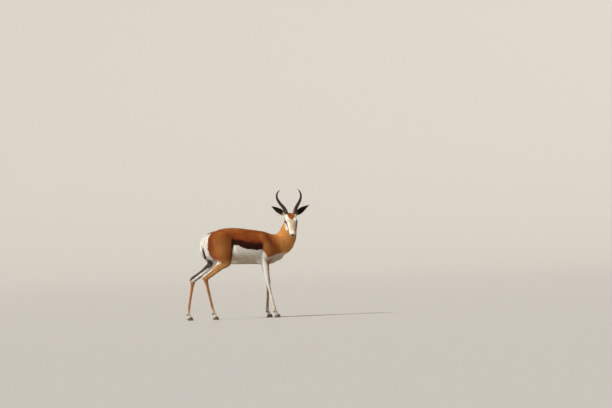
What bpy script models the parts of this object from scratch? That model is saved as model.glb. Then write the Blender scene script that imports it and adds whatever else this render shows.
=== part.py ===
"""Springbok ram at life size, standing with its head turned to look past its right shoulder.

The animal faces +X, its right side is towards -Y, and the soles of its hooves lie on z = 0.
Flesh is made as tubes with named sections and rounded muscle masses, joined and smoothed as
one body, and then parted with thin cuts. Eyes, horns, ears, tail and hooves are fitted into it.
All sizes are in metres.
"""

import math

import bmesh
import bpy
import numpy as np
from mathutils import Matrix, Vector

# Fit between touching pieces
GAP = 0.0003
REACH = 0.6  # how far a cutter runs past the body

# Fineness of the joined body
VOXEL = 0.004
SMOOTHING = 110
SMOOTH_ABOVE = (0.40, 0.56)  # height over which the legs' smoothing grows to the trunk's
SMOOTH_AROUND = (0.12, 0.20)  # the same for the distance from the middle of the face
FLESH_TRIANGLES = 3500
TUBE_SIDES = 32
TUBE_STEPS = 6

# Trunk: x, back height, belly height, half width, egg (below 0 is narrower at the top)
TRUNK = [
    (-0.268, 0.735, 0.655, 0.030, 0.00),
    (-0.245, 0.764, 0.610, 0.062, 0.00),
    (-0.190, 0.791, 0.550, 0.088, 0.00),
    (-0.120, 0.817, 0.512, 0.098, 0.00),
    (-0.040, 0.825, 0.494, 0.105, -0.04),
    (0.050, 0.821, 0.490, 0.113, -0.10),
    (0.140, 0.807, 0.488, 0.114, -0.14),
    (0.220, 0.796, 0.484, 0.107, -0.20),
    (0.290, 0.782, 0.481, 0.096, -0.22),
    (0.350, 0.762, 0.484, 0.086, -0.18),
    (0.405, 0.735, 0.505, 0.074, -0.10),
    (0.445, 0.690, 0.545, 0.048, 0.00),
]
TRUNK_SQUARE = 2.2

# Neck: x, y, z, throat, nape, half width, turn of the throat side to the right in degrees
NECK = [
    (0.335, 0.000, 0.640, 0.115, 0.110, 0.074, 0),
    (0.405, 0.000, 0.660, 0.122, 0.100, 0.073, 0),
    (0.462, -0.003, 0.690, 0.124, 0.080, 0.068, 10),
    (0.504, -0.012, 0.735, 0.102, 0.076, 0.067, 30),
    (0.525, -0.028, 0.785, 0.082, 0.074, 0.067, 55),
    (0.538, -0.042, 0.835, 0.056, 0.064, 0.068, 80),
    (0.534, -0.054, 0.878, 0.046, 0.054, 0.056, 100),
    (0.531, -0.066, 0.914, 0.034, 0.042, 0.042, 104),
]

# Head: the point between the eyes, its turn to the right and the slope of the face
EYE_CENTRE = Vector((0.516, -0.124, 0.861))
HEAD_TURN = 102
FACE_SLOPE = 50
HEAD_SCALE = 1.03
EYE_ALONG = 0.092
EYE_SIDE = 0.0405
EYE_RISE = 0.021
EYE_RADIUS = 0.0165
HEAD_MIDDLE = (0.12, 0.0, 0.0)
# distance from the poll, top, underside, half width, egg, squareness
HEAD = [
    (0.000, 0.032, 0.046, 0.034, 0.00, 2.0),
    (0.020, 0.048, 0.060, 0.041, 0.05, 2.1),
    (0.045, 0.058, 0.068, 0.045, 0.12, 2.2),
    (0.070, 0.058, 0.064, 0.047, 0.18, 2.3),
    (0.092, 0.053, 0.056, 0.046, 0.18, 2.3),
    (0.115, 0.046, 0.046, 0.041, 0.12, 2.3),
    (0.140, 0.039, 0.038, 0.035, 0.05, 2.3),
    (0.165, 0.033, 0.032, 0.030, 0.00, 2.3),
    (0.190, 0.028, 0.029, 0.0275, 0.00, 2.3),
    (0.210, 0.026, 0.028, 0.0265, 0.00, 2.3),
    (0.225, 0.020, 0.024, 0.023, 0.00, 2.2),
    (0.236, 0.010, 0.014, 0.013, 0.00, 2.0),
]

# Forelegs: shoulder point, elbow, knee, fetlock and coronet of the right and the left leg
FORE_RIGHT = [
    (0.350, -0.062, 0.620),
    (0.268, -0.080, 0.545),
    (0.288, -0.079, 0.325),
    (0.345, -0.078, 0.072),
    (0.367, -0.078, 0.028),
]
FORE_LEFT = [
    (0.372, 0.062, 0.620),
    (0.312, 0.080, 0.545),
    (0.349, 0.079, 0.325),
    (0.331, 0.078, 0.072),
    (0.347, 0.078, 0.028),
]
LEG_END = 0.25  # how far a leg's tube runs past the coronet, as a part of the pastern
LEG_ROUNDING = 3  # how often the bends of a leg are averaged
# place along the leg (1 is the elbow, 2 the knee), front, back, half width
FORE_SECTIONS = [
    (0.30, 0.050, 0.050, 0.034),
    (1.00, 0.046, 0.044, 0.031),
    (1.20, 0.038, 0.036, 0.027),
    (1.50, 0.029, 0.029, 0.0235),
    (1.80, 0.0225, 0.0225, 0.0200),
    (1.92, 0.0215, 0.0205, 0.0200),
    (2.03, 0.0210, 0.0195, 0.0195),
    (2.14, 0.0150, 0.0165, 0.0155),
    (2.35, 0.0120, 0.0135, 0.0125),
    (2.70, 0.0115, 0.0130, 0.0122),
    (2.88, 0.0130, 0.0150, 0.0140),
    (3.00, 0.0160, 0.0175, 0.0168),
    (3.30, 0.0145, 0.0150, 0.0155),
    (3.70, 0.0160, 0.0160, 0.0168),
    (4.20, 0.0190, 0.0190, 0.0185),
]

# Hind legs: hip, stifle, hock, fetlock and coronet
HIND_RIGHT = [
    (-0.165, -0.062, 0.705),
    (-0.103, -0.088, 0.508),
    (-0.306, -0.082, 0.371),
    (-0.241, -0.080, 0.072),
    (-0.222, -0.080, 0.028),
]
HIND_LEFT = [
    (-0.170, 0.062, 0.705),
    (-0.146, 0.088, 0.502),
    (-0.368, 0.084, 0.358),
    (-0.424, 0.084, 0.070),
    (-0.410, 0.084, 0.028),
]
HIND_SECTIONS = [
    (0.00, 0.095, 0.105, 0.045),
    (0.30, 0.104, 0.112, 0.052),
    (0.60, 0.090, 0.105, 0.052),
    (0.85, 0.064, 0.085, 0.046),
    (1.00, 0.044, 0.078, 0.040),
    (1.22, 0.029, 0.058, 0.032),
    (1.50, 0.0240, 0.044, 0.0240),
    (1.75, 0.0220, 0.039, 0.0185),
    (1.90, 0.0215, 0.040, 0.0175),
    (1.98, 0.0225, 0.039, 0.0190),
    (2.06, 0.0215, 0.028, 0.0185),
    (2.20, 0.0155, 0.0175, 0.0150),
    (2.45, 0.0130, 0.0140, 0.0130),
    (2.75, 0.0122, 0.0135, 0.0125),
    (2.90, 0.0135, 0.0155, 0.0142),
    (3.00, 0.0162, 0.0180, 0.0170),
    (3.30, 0.0145, 0.0150, 0.0155),
    (3.70, 0.0160, 0.0160, 0.0168),
    (4.20, 0.0190, 0.0190, 0.0185),
]

# Muscle masses on each side: x, distance from the midline, z, three radii, lean in degrees
MUSCLES = [
    (0.298, 0.050, 0.672, 0.054, 0.046, 0.110, -30),
    (0.258, 0.060, 0.598, 0.070, 0.046, 0.052, 20),
    (0.366, 0.044, 0.606, 0.052, 0.042, 0.056, 0),
    (-0.040, 0.050, 0.742, 0.080, 0.040, 0.052, 10),
    (-0.140, 0.056, 0.704, 0.125, 0.060, 0.098, 0),
    (-0.230, 0.056, 0.655, 0.074, 0.048, 0.122, 0),
]
BRISKET = (0.410, 0.000, 0.575, 0.072, 0.056, 0.066)
# On the head: distance from the poll, side, rise, three radii
HEAD_MASSES = [
    (0.086, 0.034, 0.026, 0.030, 0.019, 0.024),
    (0.066, 0.025, -0.020, 0.048, 0.022, 0.038),
    (0.044, 0.028, 0.040, 0.030, 0.026, 0.024),
    (0.020, 0.032, 0.014, 0.020, 0.020, 0.022),
]

# Tail: path and half thickness
TAIL = [
    (-0.228, 0.000, 0.742, 0.016),
    (-0.264, -0.002, 0.744, 0.017),
    (-0.286, -0.008, 0.706, 0.017),
    (-0.289, -0.013, 0.656, 0.016),
    (-0.285, -0.017, 0.606, 0.013),
    (-0.281, -0.018, 0.562, 0.005),
]
TAIL_FLATNESS = 1.45
TAIL_SIDES = 8
TAIL_STEPS = 3

# Horns: root on the head, then steps sideways, up and back from it, and the thickness there
HORN_ROOT = (0.036, 0.034, 0.050)
HORN = [
    (-0.003, -0.020, 0.016, 0.0370),
    (0.001, 0.004, 0.004, 0.0365),
    (0.012, 0.042, 0.020, 0.0345),
    (0.033, 0.078, 0.044, 0.0305),
    (0.057, 0.112, 0.066, 0.0260),
    (0.073, 0.150, 0.082, 0.0210),
    (0.073, 0.184, 0.084, 0.0155),
    (0.062, 0.208, 0.074, 0.0105),
    (0.048, 0.223, 0.060, 0.0050),
]
HORN_SIDES = 7
HORN_RINGS = 8
HORN_RING_DEPTH = 0.0016
HORN_RINGED_PART = 0.60
HORN_FLATNESS = 0.92

# Ears: root on the head, then each tip's direction as sideways, up and back
EAR_ROOT = (0.012, 0.031, 0.011)
EAR_TIPS = {"right": (0.132, 0.084, 0.006), "left": (0.145, 0.084, 0.006)}
EAR_WIDTH = 0.056
EAR_ROOT_WIDTH = 0.056
EAR_CUP = 0.55  # half the arc of the open leaf, as a part of a right angle
EAR_ROLL = 1.2  # how much more of it is rolled up at the root
EAR_DEPTH = 0.45  # part of the roll's radius that lies behind the ear's line
EAR_TIP_BACK = 0.008
EAR_THICK = 0.0034
EAR_STEPS = 7
EAR_ACROSS = 5

# Hooves, with lengths along the toe's direction from the coronet's middle
HOOF_HALF_LENGTHS = (0.0255, 0.0245, 0.0195)
HOOF_MIDDLES = (0.0060, 0.0030, -0.0010)
HOOF_WIDTH = 0.0185
HOOF_INNER = 0.42
HOOF_TAPER = 0.42
HOOF_NARROWING = 0.10
HOOF_SIDES = 12
CORONET_HEIGHT = 0.026
CORONET_SLOPE = 0.36
CLEFT = 0.0024
DEWCLAW_RADII = (0.0065, 0.0060, 0.0105)
DEWCLAW_SIDE = 0.0105
DEWCLAW_BEHIND = 0.0165
DEWCLAW_HEIGHT = 0.054
DEWCLAW_PLACE = 0.4  # from the fetlock to the coronet
DEWCLAW_TILT = -20

# Cuts that part the flesh: a point and the direction away from the trunk
NECK_CUT = ((0.418, 0.0, 0.665), (0.884, 0.0, 0.467))
# Outline round the head that parts it from the neck: distance from the poll, and rise
HEAD_CUT = [
    (-0.170, 0.044),
    (0.078, -0.078),
    (0.130, -0.050),
    (0.400, -0.100),
    (0.400, 0.300),
    (-0.170, 0.300),
]
HEAD_CUT_HALF = 0.15
HEAD_CUT_LOWERED = 1.15  # lowers the slanting faces enough for the gap to hold across them
# Legs are parted by a plane at the flank, one beside the midline and one that slants upwards
FORE_SPAN = (0.170, 0.440)
FORE_INSIDE = (0.014, 0.500)
HIND_SPAN = (-0.600, -0.020)
HIND_INSIDE = (0.008, 0.520)
LEG_CUT_RISE = 1.15
# Places along each leg, as in its sections, where it is parted again
FORE_CUTS = {"forearm": None, "cannon": 2.08, "pastern": 2.94}
HIND_CUTS = {"thigh": None, "shank": 1.06, "cannon": 2.12, "pastern": 2.94}

# Colours of the plain pieces
CINNAMON = (0.50, 0.24, 0.09)
TAN = (0.60, 0.36, 0.16)
WHITE = (0.80, 0.76, 0.68)
HORN_BLACK = (0.030, 0.024, 0.020)
EYE_BROWN = (0.020, 0.010, 0.006)
HOOF_BLACK = (0.025, 0.022, 0.020)


def clear_scene():
    for old in list(bpy.data.objects):
        bpy.data.objects.remove(old, do_unlink=True)


def collection(name):
    made = bpy.data.collections.new(name)
    bpy.context.scene.collection.children.link(made)
    return made


def material(name, colour, roughness):
    mat = bpy.data.materials.new(name)
    mat.use_nodes = True
    shader = mat.node_tree.nodes["Principled BSDF"]
    shader.inputs["Base Color"].default_value = (*colour, 1.0)
    shader.inputs["Roughness"].default_value = roughness
    shader.inputs["Metallic"].default_value = 0.0
    return mat


def smooth_curve(rows, steps):
    """Points of a smooth curve through the rows, with equal steps between neighbouring rows."""
    rows = np.asarray(rows, float)
    ends = np.vstack([2 * rows[0] - rows[1], rows, 2 * rows[-1] - rows[-2]])
    points = []
    for i in range(1, len(rows)):
        p0, p1, p2, p3 = ends[i - 1:i + 3]
        for t in np.arange(steps) / steps:
            bend = (2 * p0 - 5 * p1 + 4 * p2 - p3) * t**2 + (3 * p1 - p0 - 3 * p2 + p3) * t**3
            points.append(0.5 * (2 * p1 + (p2 - p0) * t + bend))
    points.append(rows[-1])
    return np.array(points)


def unit(v):
    return v / np.linalg.norm(v, axis=-1, keepdims=True)


def section(front_axis, side_axis, front, back, half, egg, square, sides):
    """One closed outline, rounder or squarer, that is narrower on one side where egg isn't 0."""
    t = 2 * math.pi * np.arange(sides) / sides
    c = np.sign(np.cos(t)) * np.abs(np.cos(t)) ** (2 / square)
    s = np.sign(np.sin(t)) * np.abs(np.sin(t)) ** (2 / square)
    along = np.where(c > 0, front, back) * c
    across = half * s * (1 + egg * c)
    return along[:, None] * front_axis + across[:, None] * side_axis


def loft(bm, rings):
    """Closed skin over rings of equal count, with a point at the middle of each end."""
    rows = [[bm.verts.new(p) for p in ring] for ring in rings]
    count = len(rows[0])
    for low, high in zip(rows, rows[1:]):
        for i in range(count):
            j = (i + 1) % count
            bm.faces.new((low[i], low[j], high[j], high[i]))
    for ring, source in ((rows[0], rings[0]), (rows[-1], rings[-1])):
        middle = bm.verts.new(np.mean(source, axis=0))
        for i in range(count):
            bm.faces.new((ring[i], ring[(i + 1) % count], middle))


def tube(bm, path, facing, sizes, square=2.0, sides=TUBE_SIDES):
    """Tube along path. facing is the front side's direction and sizes holds front, back, half, egg."""
    path = np.asarray(path, float)
    tangent = unit(np.gradient(path, axis=0))
    facing = np.broadcast_to(np.asarray(facing, float), path.shape)
    front = unit(facing - tangent * np.sum(facing * tangent, axis=1, keepdims=True))
    side = np.cross(tangent, front)
    square = np.broadcast_to(square, len(path))
    rings = [
        path[i] + section(front[i], side[i], *sizes[i], square[i], sides)
        for i in range(len(path))
    ]
    loft(bm, rings)


def ellipsoid(bm, centre, radii, turn=Matrix.Identity(4), segments=24):
    size = Matrix.Diagonal((*radii, 1.0))
    place = Matrix.Translation(centre) @ turn @ size
    rings = segments * 2 // 3
    bmesh.ops.create_uvsphere(bm, u_segments=segments, v_segments=rings, radius=1.0, matrix=place)


def head_axes():
    """Muzzle, left side and face directions of the head, as unit vectors."""
    turn, slope = math.radians(HEAD_TURN), math.radians(FACE_SLOPE)
    ahead = Vector((math.cos(turn), -math.sin(turn), 0.0))
    muzzle = ahead * math.cos(slope) - Vector((0, 0, 1)) * math.sin(slope)
    face = ahead * math.sin(slope) + Vector((0, 0, 1)) * math.cos(slope)
    return muzzle, face.cross(muzzle), face


def on_head(along, side, rise):
    """World place of a point given by its distances from the poll, the midline and the axis."""
    muzzle, left, face = head_axes()
    shift = Vector((along - EYE_ALONG, side, rise - EYE_RISE)) * HEAD_SCALE
    return EYE_CENTRE + shift.x * muzzle + shift.y * left + shift.z * face


def head_turn():
    muzzle, left, face = head_axes()
    return Matrix((muzzle, left, face)).transposed().to_4x4()


def add_trunk(bm):
    rows = smooth_curve(TRUNK, TUBE_STEPS)
    middle = (rows[:, 1] + rows[:, 2]) / 2
    path = np.column_stack([rows[:, 0], 0 * middle, middle])
    half_depth = (rows[:, 1] - rows[:, 2]) / 2
    sizes = np.column_stack([half_depth, half_depth, rows[:, 3], rows[:, 4]])
    up, left = np.array((0.0, 0.0, 1.0)), np.array((0.0, 1.0, 0.0))
    rings = [
        spot + section(up, left, *size, TRUNK_SQUARE, TUBE_SIDES)
        for spot, size in zip(path, sizes)
    ]
    loft(bm, rings)


def add_neck(bm):
    rows = smooth_curve(NECK, TUBE_STEPS)
    turn = np.radians(rows[:, 6])
    facing = np.column_stack([np.cos(turn), -np.sin(turn), 0 * turn])
    sizes = np.column_stack([rows[:, 3], rows[:, 4], rows[:, 5], 0 * turn])
    tube(bm, rows[:, :3], facing, sizes)


def add_head(bm):
    rows = smooth_curve(HEAD, TUBE_STEPS)
    muzzle, left, face = (np.array(axis) for axis in head_axes())
    rings = []
    for along, top, under, half, egg, square in rows:
        spot = np.array(on_head(along, 0.0, 0.0))
        sizes = (HEAD_SCALE * top, HEAD_SCALE * under, HEAD_SCALE * half)
        rings.append(spot + section(face, left, *sizes, egg, square, TUBE_SIDES))
    loft(bm, rings)
    for along, side, rise, *radii in HEAD_MASSES:
        for sign in (-1, 1):
            sizes = [HEAD_SCALE * radius for radius in radii]
            ellipsoid(bm, on_head(along, sign * side, rise), sizes, head_turn())


def leg_rows(joints, sections):
    """Path points and section sizes along a leg, from the joints and the sections between them."""
    rows = smooth_curve(sections, TUBE_STEPS)
    joints = np.asarray(joints, float)
    last = len(joints) - 1
    place = np.minimum(rows[:, 0], last + LEG_END)
    start = np.minimum(place.astype(int), last - 1)
    path = joints[start] + (place - start)[:, None] * (joints[start + 1] - joints[start])
    for _ in range(LEG_ROUNDING):
        path[1:-1] = 0.25 * path[:-2] + 0.5 * path[1:-1] + 0.25 * path[2:]
    sizes = np.column_stack([rows[:, 1], rows[:, 2], rows[:, 3], 0 * place])
    return path, sizes


def add_leg(bm, joints, sections):
    path, sizes = leg_rows(joints, sections)
    tube(bm, path, (1.0, 0.0, 0.0), sizes)


def add_muscles(bm):
    for x, side, z, long, wide, tall, lean in MUSCLES:
        for sign in (-1, 1):
            turn = Matrix.Rotation(math.radians(lean), 4, "Y")
            ellipsoid(bm, (x, sign * side, z), (long, wide, tall), turn)
    ellipsoid(bm, BRISKET[:3], BRISKET[3:])


def softness(place):
    """How much the joined body is smoothed: fully on the trunk, little on the face and feet."""
    distance = (Vector(place) - on_head(*HEAD_MIDDLE)).length
    body = np.interp(place[2], SMOOTH_ABOVE, (0.0, 1.0))
    head = np.interp(distance, SMOOTH_AROUND, (0.0, 1.0))
    return 0.03 + 0.09 * body + 0.88 * min(body, head) ** 1.5


def new_object(name, mesh, home):
    made = bpy.data.objects.new(name, mesh)
    home.objects.link(made)
    return made


def from_bmesh(name, bm, home):
    bmesh.ops.recalc_face_normals(bm, faces=bm.faces)
    mesh = bpy.data.meshes.new(name)
    bm.to_mesh(mesh)
    bm.free()
    return new_object(name, mesh, home)


def bake_modifiers(piece):
    """Puts the evaluated mesh in place of the piece's modifiers."""
    depsgraph = bpy.context.evaluated_depsgraph_get()
    mesh = bpy.data.meshes.new_from_object(piece.evaluated_get(depsgraph))
    piece.modifiers.clear()
    piece.data = mesh


def joined_flesh(home):
    bm = bmesh.new()
    add_trunk(bm)
    add_neck(bm)
    add_head(bm)
    add_muscles(bm)
    for joints in (FORE_RIGHT, FORE_LEFT):
        add_leg(bm, joints, FORE_SECTIONS)
    for joints in (HIND_RIGHT, HIND_LEFT):
        add_leg(bm, joints, HIND_SECTIONS)
    flesh = from_bmesh("trunk", bm, home)
    remesh = flesh.modifiers.new("join", "REMESH")
    remesh.mode = "VOXEL"
    remesh.voxel_size = VOXEL
    bake_modifiers(flesh)

    soft = flesh.vertex_groups.new(name="soft")
    for vertex in flesh.data.vertices:
        soft.add([vertex.index], softness(vertex.co), "REPLACE")
    smooth = flesh.modifiers.new("smooth", "SMOOTH")
    smooth.factor = 0.5
    smooth.iterations = SMOOTHING
    smooth.vertex_group = soft.name
    bake_modifiers(flesh)
    flesh.vertex_groups.clear()

    decimate = flesh.modifiers.new("thin", "DECIMATE")
    decimate.ratio = FLESH_TRIANGLES / (2 * len(flesh.data.polygons))
    bake_modifiers(flesh)
    return flesh


def subtract(piece, cutter, operation="DIFFERENCE"):
    cut = piece.modifiers.new("cut", "BOOLEAN")
    cut.operation = operation
    cut.solver = "EXACT"
    cut.object = cutter
    bake_modifiers(piece)


def hide_cutter(piece):
    piece.hide_render = True
    piece.display_type = "WIRE"


def keep_largest(piece):
    """Drops the scraps that a cut has left beside the piece."""
    bm = bmesh.new()
    bm.from_mesh(piece.data)
    waiting = set(bm.verts)
    bodies = []
    while waiting:
        reached = [waiting.pop()]
        body = []
        while reached:
            vertex = reached.pop()
            body.append(vertex)
            near = {edge.other_vert(vertex) for edge in vertex.link_edges} & waiting
            waiting -= near
            reached.extend(near)
        bodies.append(body)
    bodies.sort(key=len)
    scraps = [vertex for body in bodies[:-1] for vertex in body]
    bmesh.ops.delete(bm, geom=scraps, context="VERTS")
    bm.to_mesh(piece.data)
    bm.free()


def keep_clear(piece, neighbour, tools):
    """Cuts the piece back to a gap away from its neighbour."""
    cutter = new_object(f"{piece.name}_cutter", neighbour.data.copy(), tools)
    swell = cutter.modifiers.new("swell", "DISPLACE")
    swell.strength = GAP
    swell.mid_level = 0.0
    subtract(piece, cutter)
    bpy.data.objects.remove(cutter)
    keep_largest(piece)


def split(piece, name, point, direction, home):
    """Parts the piece by a plane and returns what lies beyond it, with the gap between them."""
    point, direction = Vector(point), Vector(direction).normalized()
    beyond = new_object(name, piece.data.copy(), home)
    for half, sign in ((beyond, 1), (piece, -1)):
        bm = bmesh.new()
        bm.from_mesh(half.data)
        cut = bmesh.ops.bisect_plane(
            bm,
            geom=bm.verts[:] + bm.edges[:] + bm.faces[:],
            plane_co=point + direction * (sign * GAP / 2),
            plane_no=direction * sign,
            clear_inner=True,
        )
        rim = [item for item in cut["geom_cut"] if isinstance(item, bmesh.types.BMEdge)]
        caps = bmesh.ops.edgeloop_fill(bm, edges=rim)
        bmesh.ops.triangulate(bm, faces=caps["faces"])
        bmesh.ops.recalc_face_normals(bm, faces=bm.faces)
        bm.to_mesh(half.data)
        bm.free()
    return beyond


def prism(name, outline, low, high, tools, place=Matrix.Identity(4)):
    """Cutter with an outline given as y and z, that runs from low to high in x, put in place."""
    bm = bmesh.new()
    rings = [[bm.verts.new(place @ Vector((x, y, z))) for y, z in outline] for x in (low, high)]
    bm.faces.new(rings[0])
    bm.faces.new(rings[1])
    for i in range(len(outline)):
        j = (i + 1) % len(outline)
        bm.faces.new((rings[0][i], rings[0][j], rings[1][j], rings[1][i]))
    cutter = from_bmesh(name, bm, tools)
    hide_cutter(cutter)
    return cutter


def part_off(flesh, name, region, home):
    """Takes what lies in a region off the flesh. region makes the cutter, widened by a gap."""
    piece = new_object(name, flesh.data.copy(), home)
    subtract(piece, region(f"{name}_keep", 0.0), "INTERSECT")
    subtract(flesh, region(f"{name}_clear", GAP))
    return piece


def part_leg(flesh, name, side, inside, span, home, tools):
    """Takes a leg off the trunk; side is -1 for the right and 1 for the left."""

    def region(label, gap):
        y, z = inside[0] - gap, inside[1] + gap
        outline = [
            (side * y, -REACH),
            (side * y, z),
            (side * (y + REACH), z + LEG_CUT_RISE * REACH),
            (side * (y + REACH), -REACH),
        ]
        return prism(label, outline, span[0] - gap, span[1] + gap, tools)

    return part_off(flesh, name, region, home)


def part_head(neck, home, tools):
    """Takes the head off the neck, along the back of the skull and under the jaw."""
    muzzle, left, face = head_axes()
    place = Matrix((left, muzzle, face)).transposed().to_4x4()
    place.translation = on_head(0.0, 0.0, 0.0)

    def region(label, gap):
        outline = [(along, rise - HEAD_CUT_LOWERED * gap) for along, rise in HEAD_CUT]
        return prism(label, outline, -HEAD_CUT_HALF, HEAD_CUT_HALF, tools, place)

    return part_off(neck, "head", region, home)


def divide_leg(leg, prefix, joints, sections, cuts, home):
    """Parts a leg at its joints and returns its pieces from the top down."""
    pieces = [leg]
    path, _ = leg_rows(joints, sections)
    places = np.minimum(smooth_curve(sections, TUBE_STEPS)[:, 0], len(joints) - 1)
    for name, place in cuts.items():
        if place is None:
            leg.name = f"{prefix}_{name}"
            continue
        spot = np.array([np.interp(place, places, path[:, axis]) for axis in range(3)])
        ahead = np.array([np.interp(place + 0.1, places, path[:, axis]) for axis in range(3)])
        pieces.append(split(pieces[-1], f"{prefix}_{name}", spot, ahead - spot, home))
    return pieces


def hoof(name, coronet, side, home):
    """One claw of a foot, with a flat sole and a pointed toe; side is -1 for the right claw."""
    bm = bmesh.new()
    t = 2 * math.pi * np.arange(HOOF_SIDES) / HOOF_SIDES
    rings = []
    for level, (length, middle) in enumerate(zip(HOOF_HALF_LENGTHS, HOOF_MIDDLES)):
        rise = level / (len(HOOF_MIDDLES) - 1)
        ahead = middle + length * np.cos(t)
        width = HOOF_WIDTH / 2 * (1 + HOOF_INNER) * (1 - HOOF_NARROWING * rise)
        across = width * np.sin(t) * (1 - HOOF_TAPER * np.cos(t))
        across = np.where(across < 0, HOOF_INNER * across, across)
        start = CLEFT / 2 - HOOF_INNER * np.min(width * np.sin(t) * (1 - HOOF_TAPER * np.cos(t)))
        top = CORONET_HEIGHT + CORONET_SLOPE * ahead - GAP
        x = coronet[0] + ahead
        y = coronet[1] + side * (start + across)
        rings.append(np.column_stack([x, y, rise * top]))
    loft(bm, rings)
    return from_bmesh(name, bm, home)


def add_foot(prefix, pastern, joints, home, tools):
    """Ends the pastern at the coronet, and adds two claws and two dewclaws."""
    coronet = joints[-1]
    top = (coronet[0], coronet[1], CORONET_HEIGHT)
    below = split(pastern, "below_coronet", top, (CORONET_SLOPE, 0.0, -1.0), home)
    bpy.data.objects.remove(below)
    made = []
    heel = Vector(joints[-2]).lerp(Vector(coronet), DEWCLAW_PLACE)
    for label, side in (("right", -1), ("left", 1)):
        made.append(hoof(f"{prefix}_hoof_{label}", coronet, side, home))
        bm = bmesh.new()
        place = (heel.x - DEWCLAW_BEHIND, heel.y + side * DEWCLAW_SIDE, DEWCLAW_HEIGHT)
        turn = Matrix.Rotation(math.radians(DEWCLAW_TILT), 4, "Y")
        ellipsoid(bm, place, DEWCLAW_RADII, turn, 6)
        claw = from_bmesh(f"{prefix}_dewclaw_{label}", bm, home)
        keep_clear(claw, pastern, tools)
        made.append(claw)
    return made


def tail(home):
    bm = bmesh.new()
    rows = smooth_curve(TAIL, TAIL_STEPS)
    radius = rows[:, 3]
    sizes = np.column_stack([radius, radius, radius * TAIL_FLATNESS, 0 * radius])
    ahead = np.gradient(rows[:, :3], axis=0)
    facing = np.column_stack([ahead[:, 2], 0 * radius, -ahead[:, 0]])
    tube(bm, rows[:, :3], facing, sizes, sides=TAIL_SIDES)
    return from_bmesh("tail", bm, home)


def sideways_up_back(step, side):
    """World direction of a step given sideways, up and back from the head's own heading."""
    turn = math.radians(HEAD_TURN)
    ahead = Vector((math.cos(turn), -math.sin(turn), 0.0))
    left = Vector((math.sin(turn), math.cos(turn), 0.0))
    step = Vector(step)
    return side * step.x * left + step.y * Vector((0, 0, 1)) - step.z * ahead


def horn(name, side, home):
    bm = bmesh.new()
    rows = smooth_curve(HORN, 4)
    along, _, rise = HORN_ROOT
    root = on_head(along, side * HORN_ROOT[1], rise)
    path = np.array([root + sideways_up_back(row[:3], side) for row in rows])
    part = np.linspace(0, 1, len(rows))
    ringed = np.clip((HORN_RINGED_PART - part) / 0.1, 0, 1)
    wave = np.cos(2 * math.pi * HORN_RINGS * part / HORN_RINGED_PART)
    half = rows[:, 3] / 2 + HORN_RING_DEPTH * ringed * wave
    sizes = np.column_stack([half, half, HORN_FLATNESS * half, 0 * half])
    facing = np.broadcast_to(np.array(sideways_up_back((0.0, 0.0, -1.0), side)), path.shape)
    tube(bm, path, facing, sizes, sides=HORN_SIDES)
    return from_bmesh(name, bm, home)


def ear(name, tip, side, home):
    """A cupped leaf that is rolled at its root, opens forwards and ends in a point."""
    bm = bmesh.new()
    root = on_head(EAR_ROOT[0], side * EAR_ROOT[1], EAR_ROOT[2])
    spine = sideways_up_back(tip, side)
    along = spine.normalized()
    ahead = sideways_up_back((0.25, 0.0, -1.0), side)
    ahead = (ahead - along * ahead.dot(along)).normalized()
    across = along.cross(ahead) * side
    grid = []
    for i in range(EAR_STEPS + 1):
        u = i / EAR_STEPS
        leaf_half = EAR_WIDTH / 2 * math.sin(math.pi * u**0.85) ** 0.9
        leaf_half += EAR_ROOT_WIDTH / 2 * (1 - u) ** 3
        arc = (EAR_CUP + EAR_ROLL * (1 - u) ** 3) * math.pi / 2
        radius = leaf_half / arc
        row = []
        for k in range(EAR_ACROSS + 1):
            angle = (2 * k / EAR_ACROSS - 1) * arc
            forward = radius * (1 - math.cos(angle) - EAR_DEPTH) - EAR_TIP_BACK * u**2
            sideways = across * (radius * math.sin(angle))
            row.append(bm.verts.new(root + spine * u + sideways + ahead * forward))
        grid.append(row)
    for low, high in zip(grid, grid[1:]):
        for k in range(EAR_ACROSS):
            bm.faces.new((low[k], low[k + 1], high[k + 1], high[k]))
    leaf = from_bmesh(name, bm, home)
    shell = leaf.modifiers.new("thickness", "SOLIDIFY")
    shell.thickness = EAR_THICK
    shell.offset = 0.0
    bake_modifiers(leaf)
    return leaf


def eye(name, side, home):
    bm = bmesh.new()
    place = on_head(EYE_ALONG, side * EYE_SIDE, EYE_RISE)
    ellipsoid(bm, place, (EYE_RADIUS,) * 3, head_turn(), 12)
    return from_bmesh(name, bm, home)


def stand_on_origin(pieces, home):
    """Carries the pieces on one empty, placed so that the origin is under the middle of the box."""
    corners = np.array([piece.matrix_world @ v.co for piece in pieces for v in piece.data.vertices])
    middle = (corners.min(axis=0) + corners.max(axis=0)) / 2
    origin = new_object("springbok_origin", None, home)
    origin.location = (-middle[0], -middle[1], 0.0)
    for piece in pieces:
        piece.parent = origin


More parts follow.
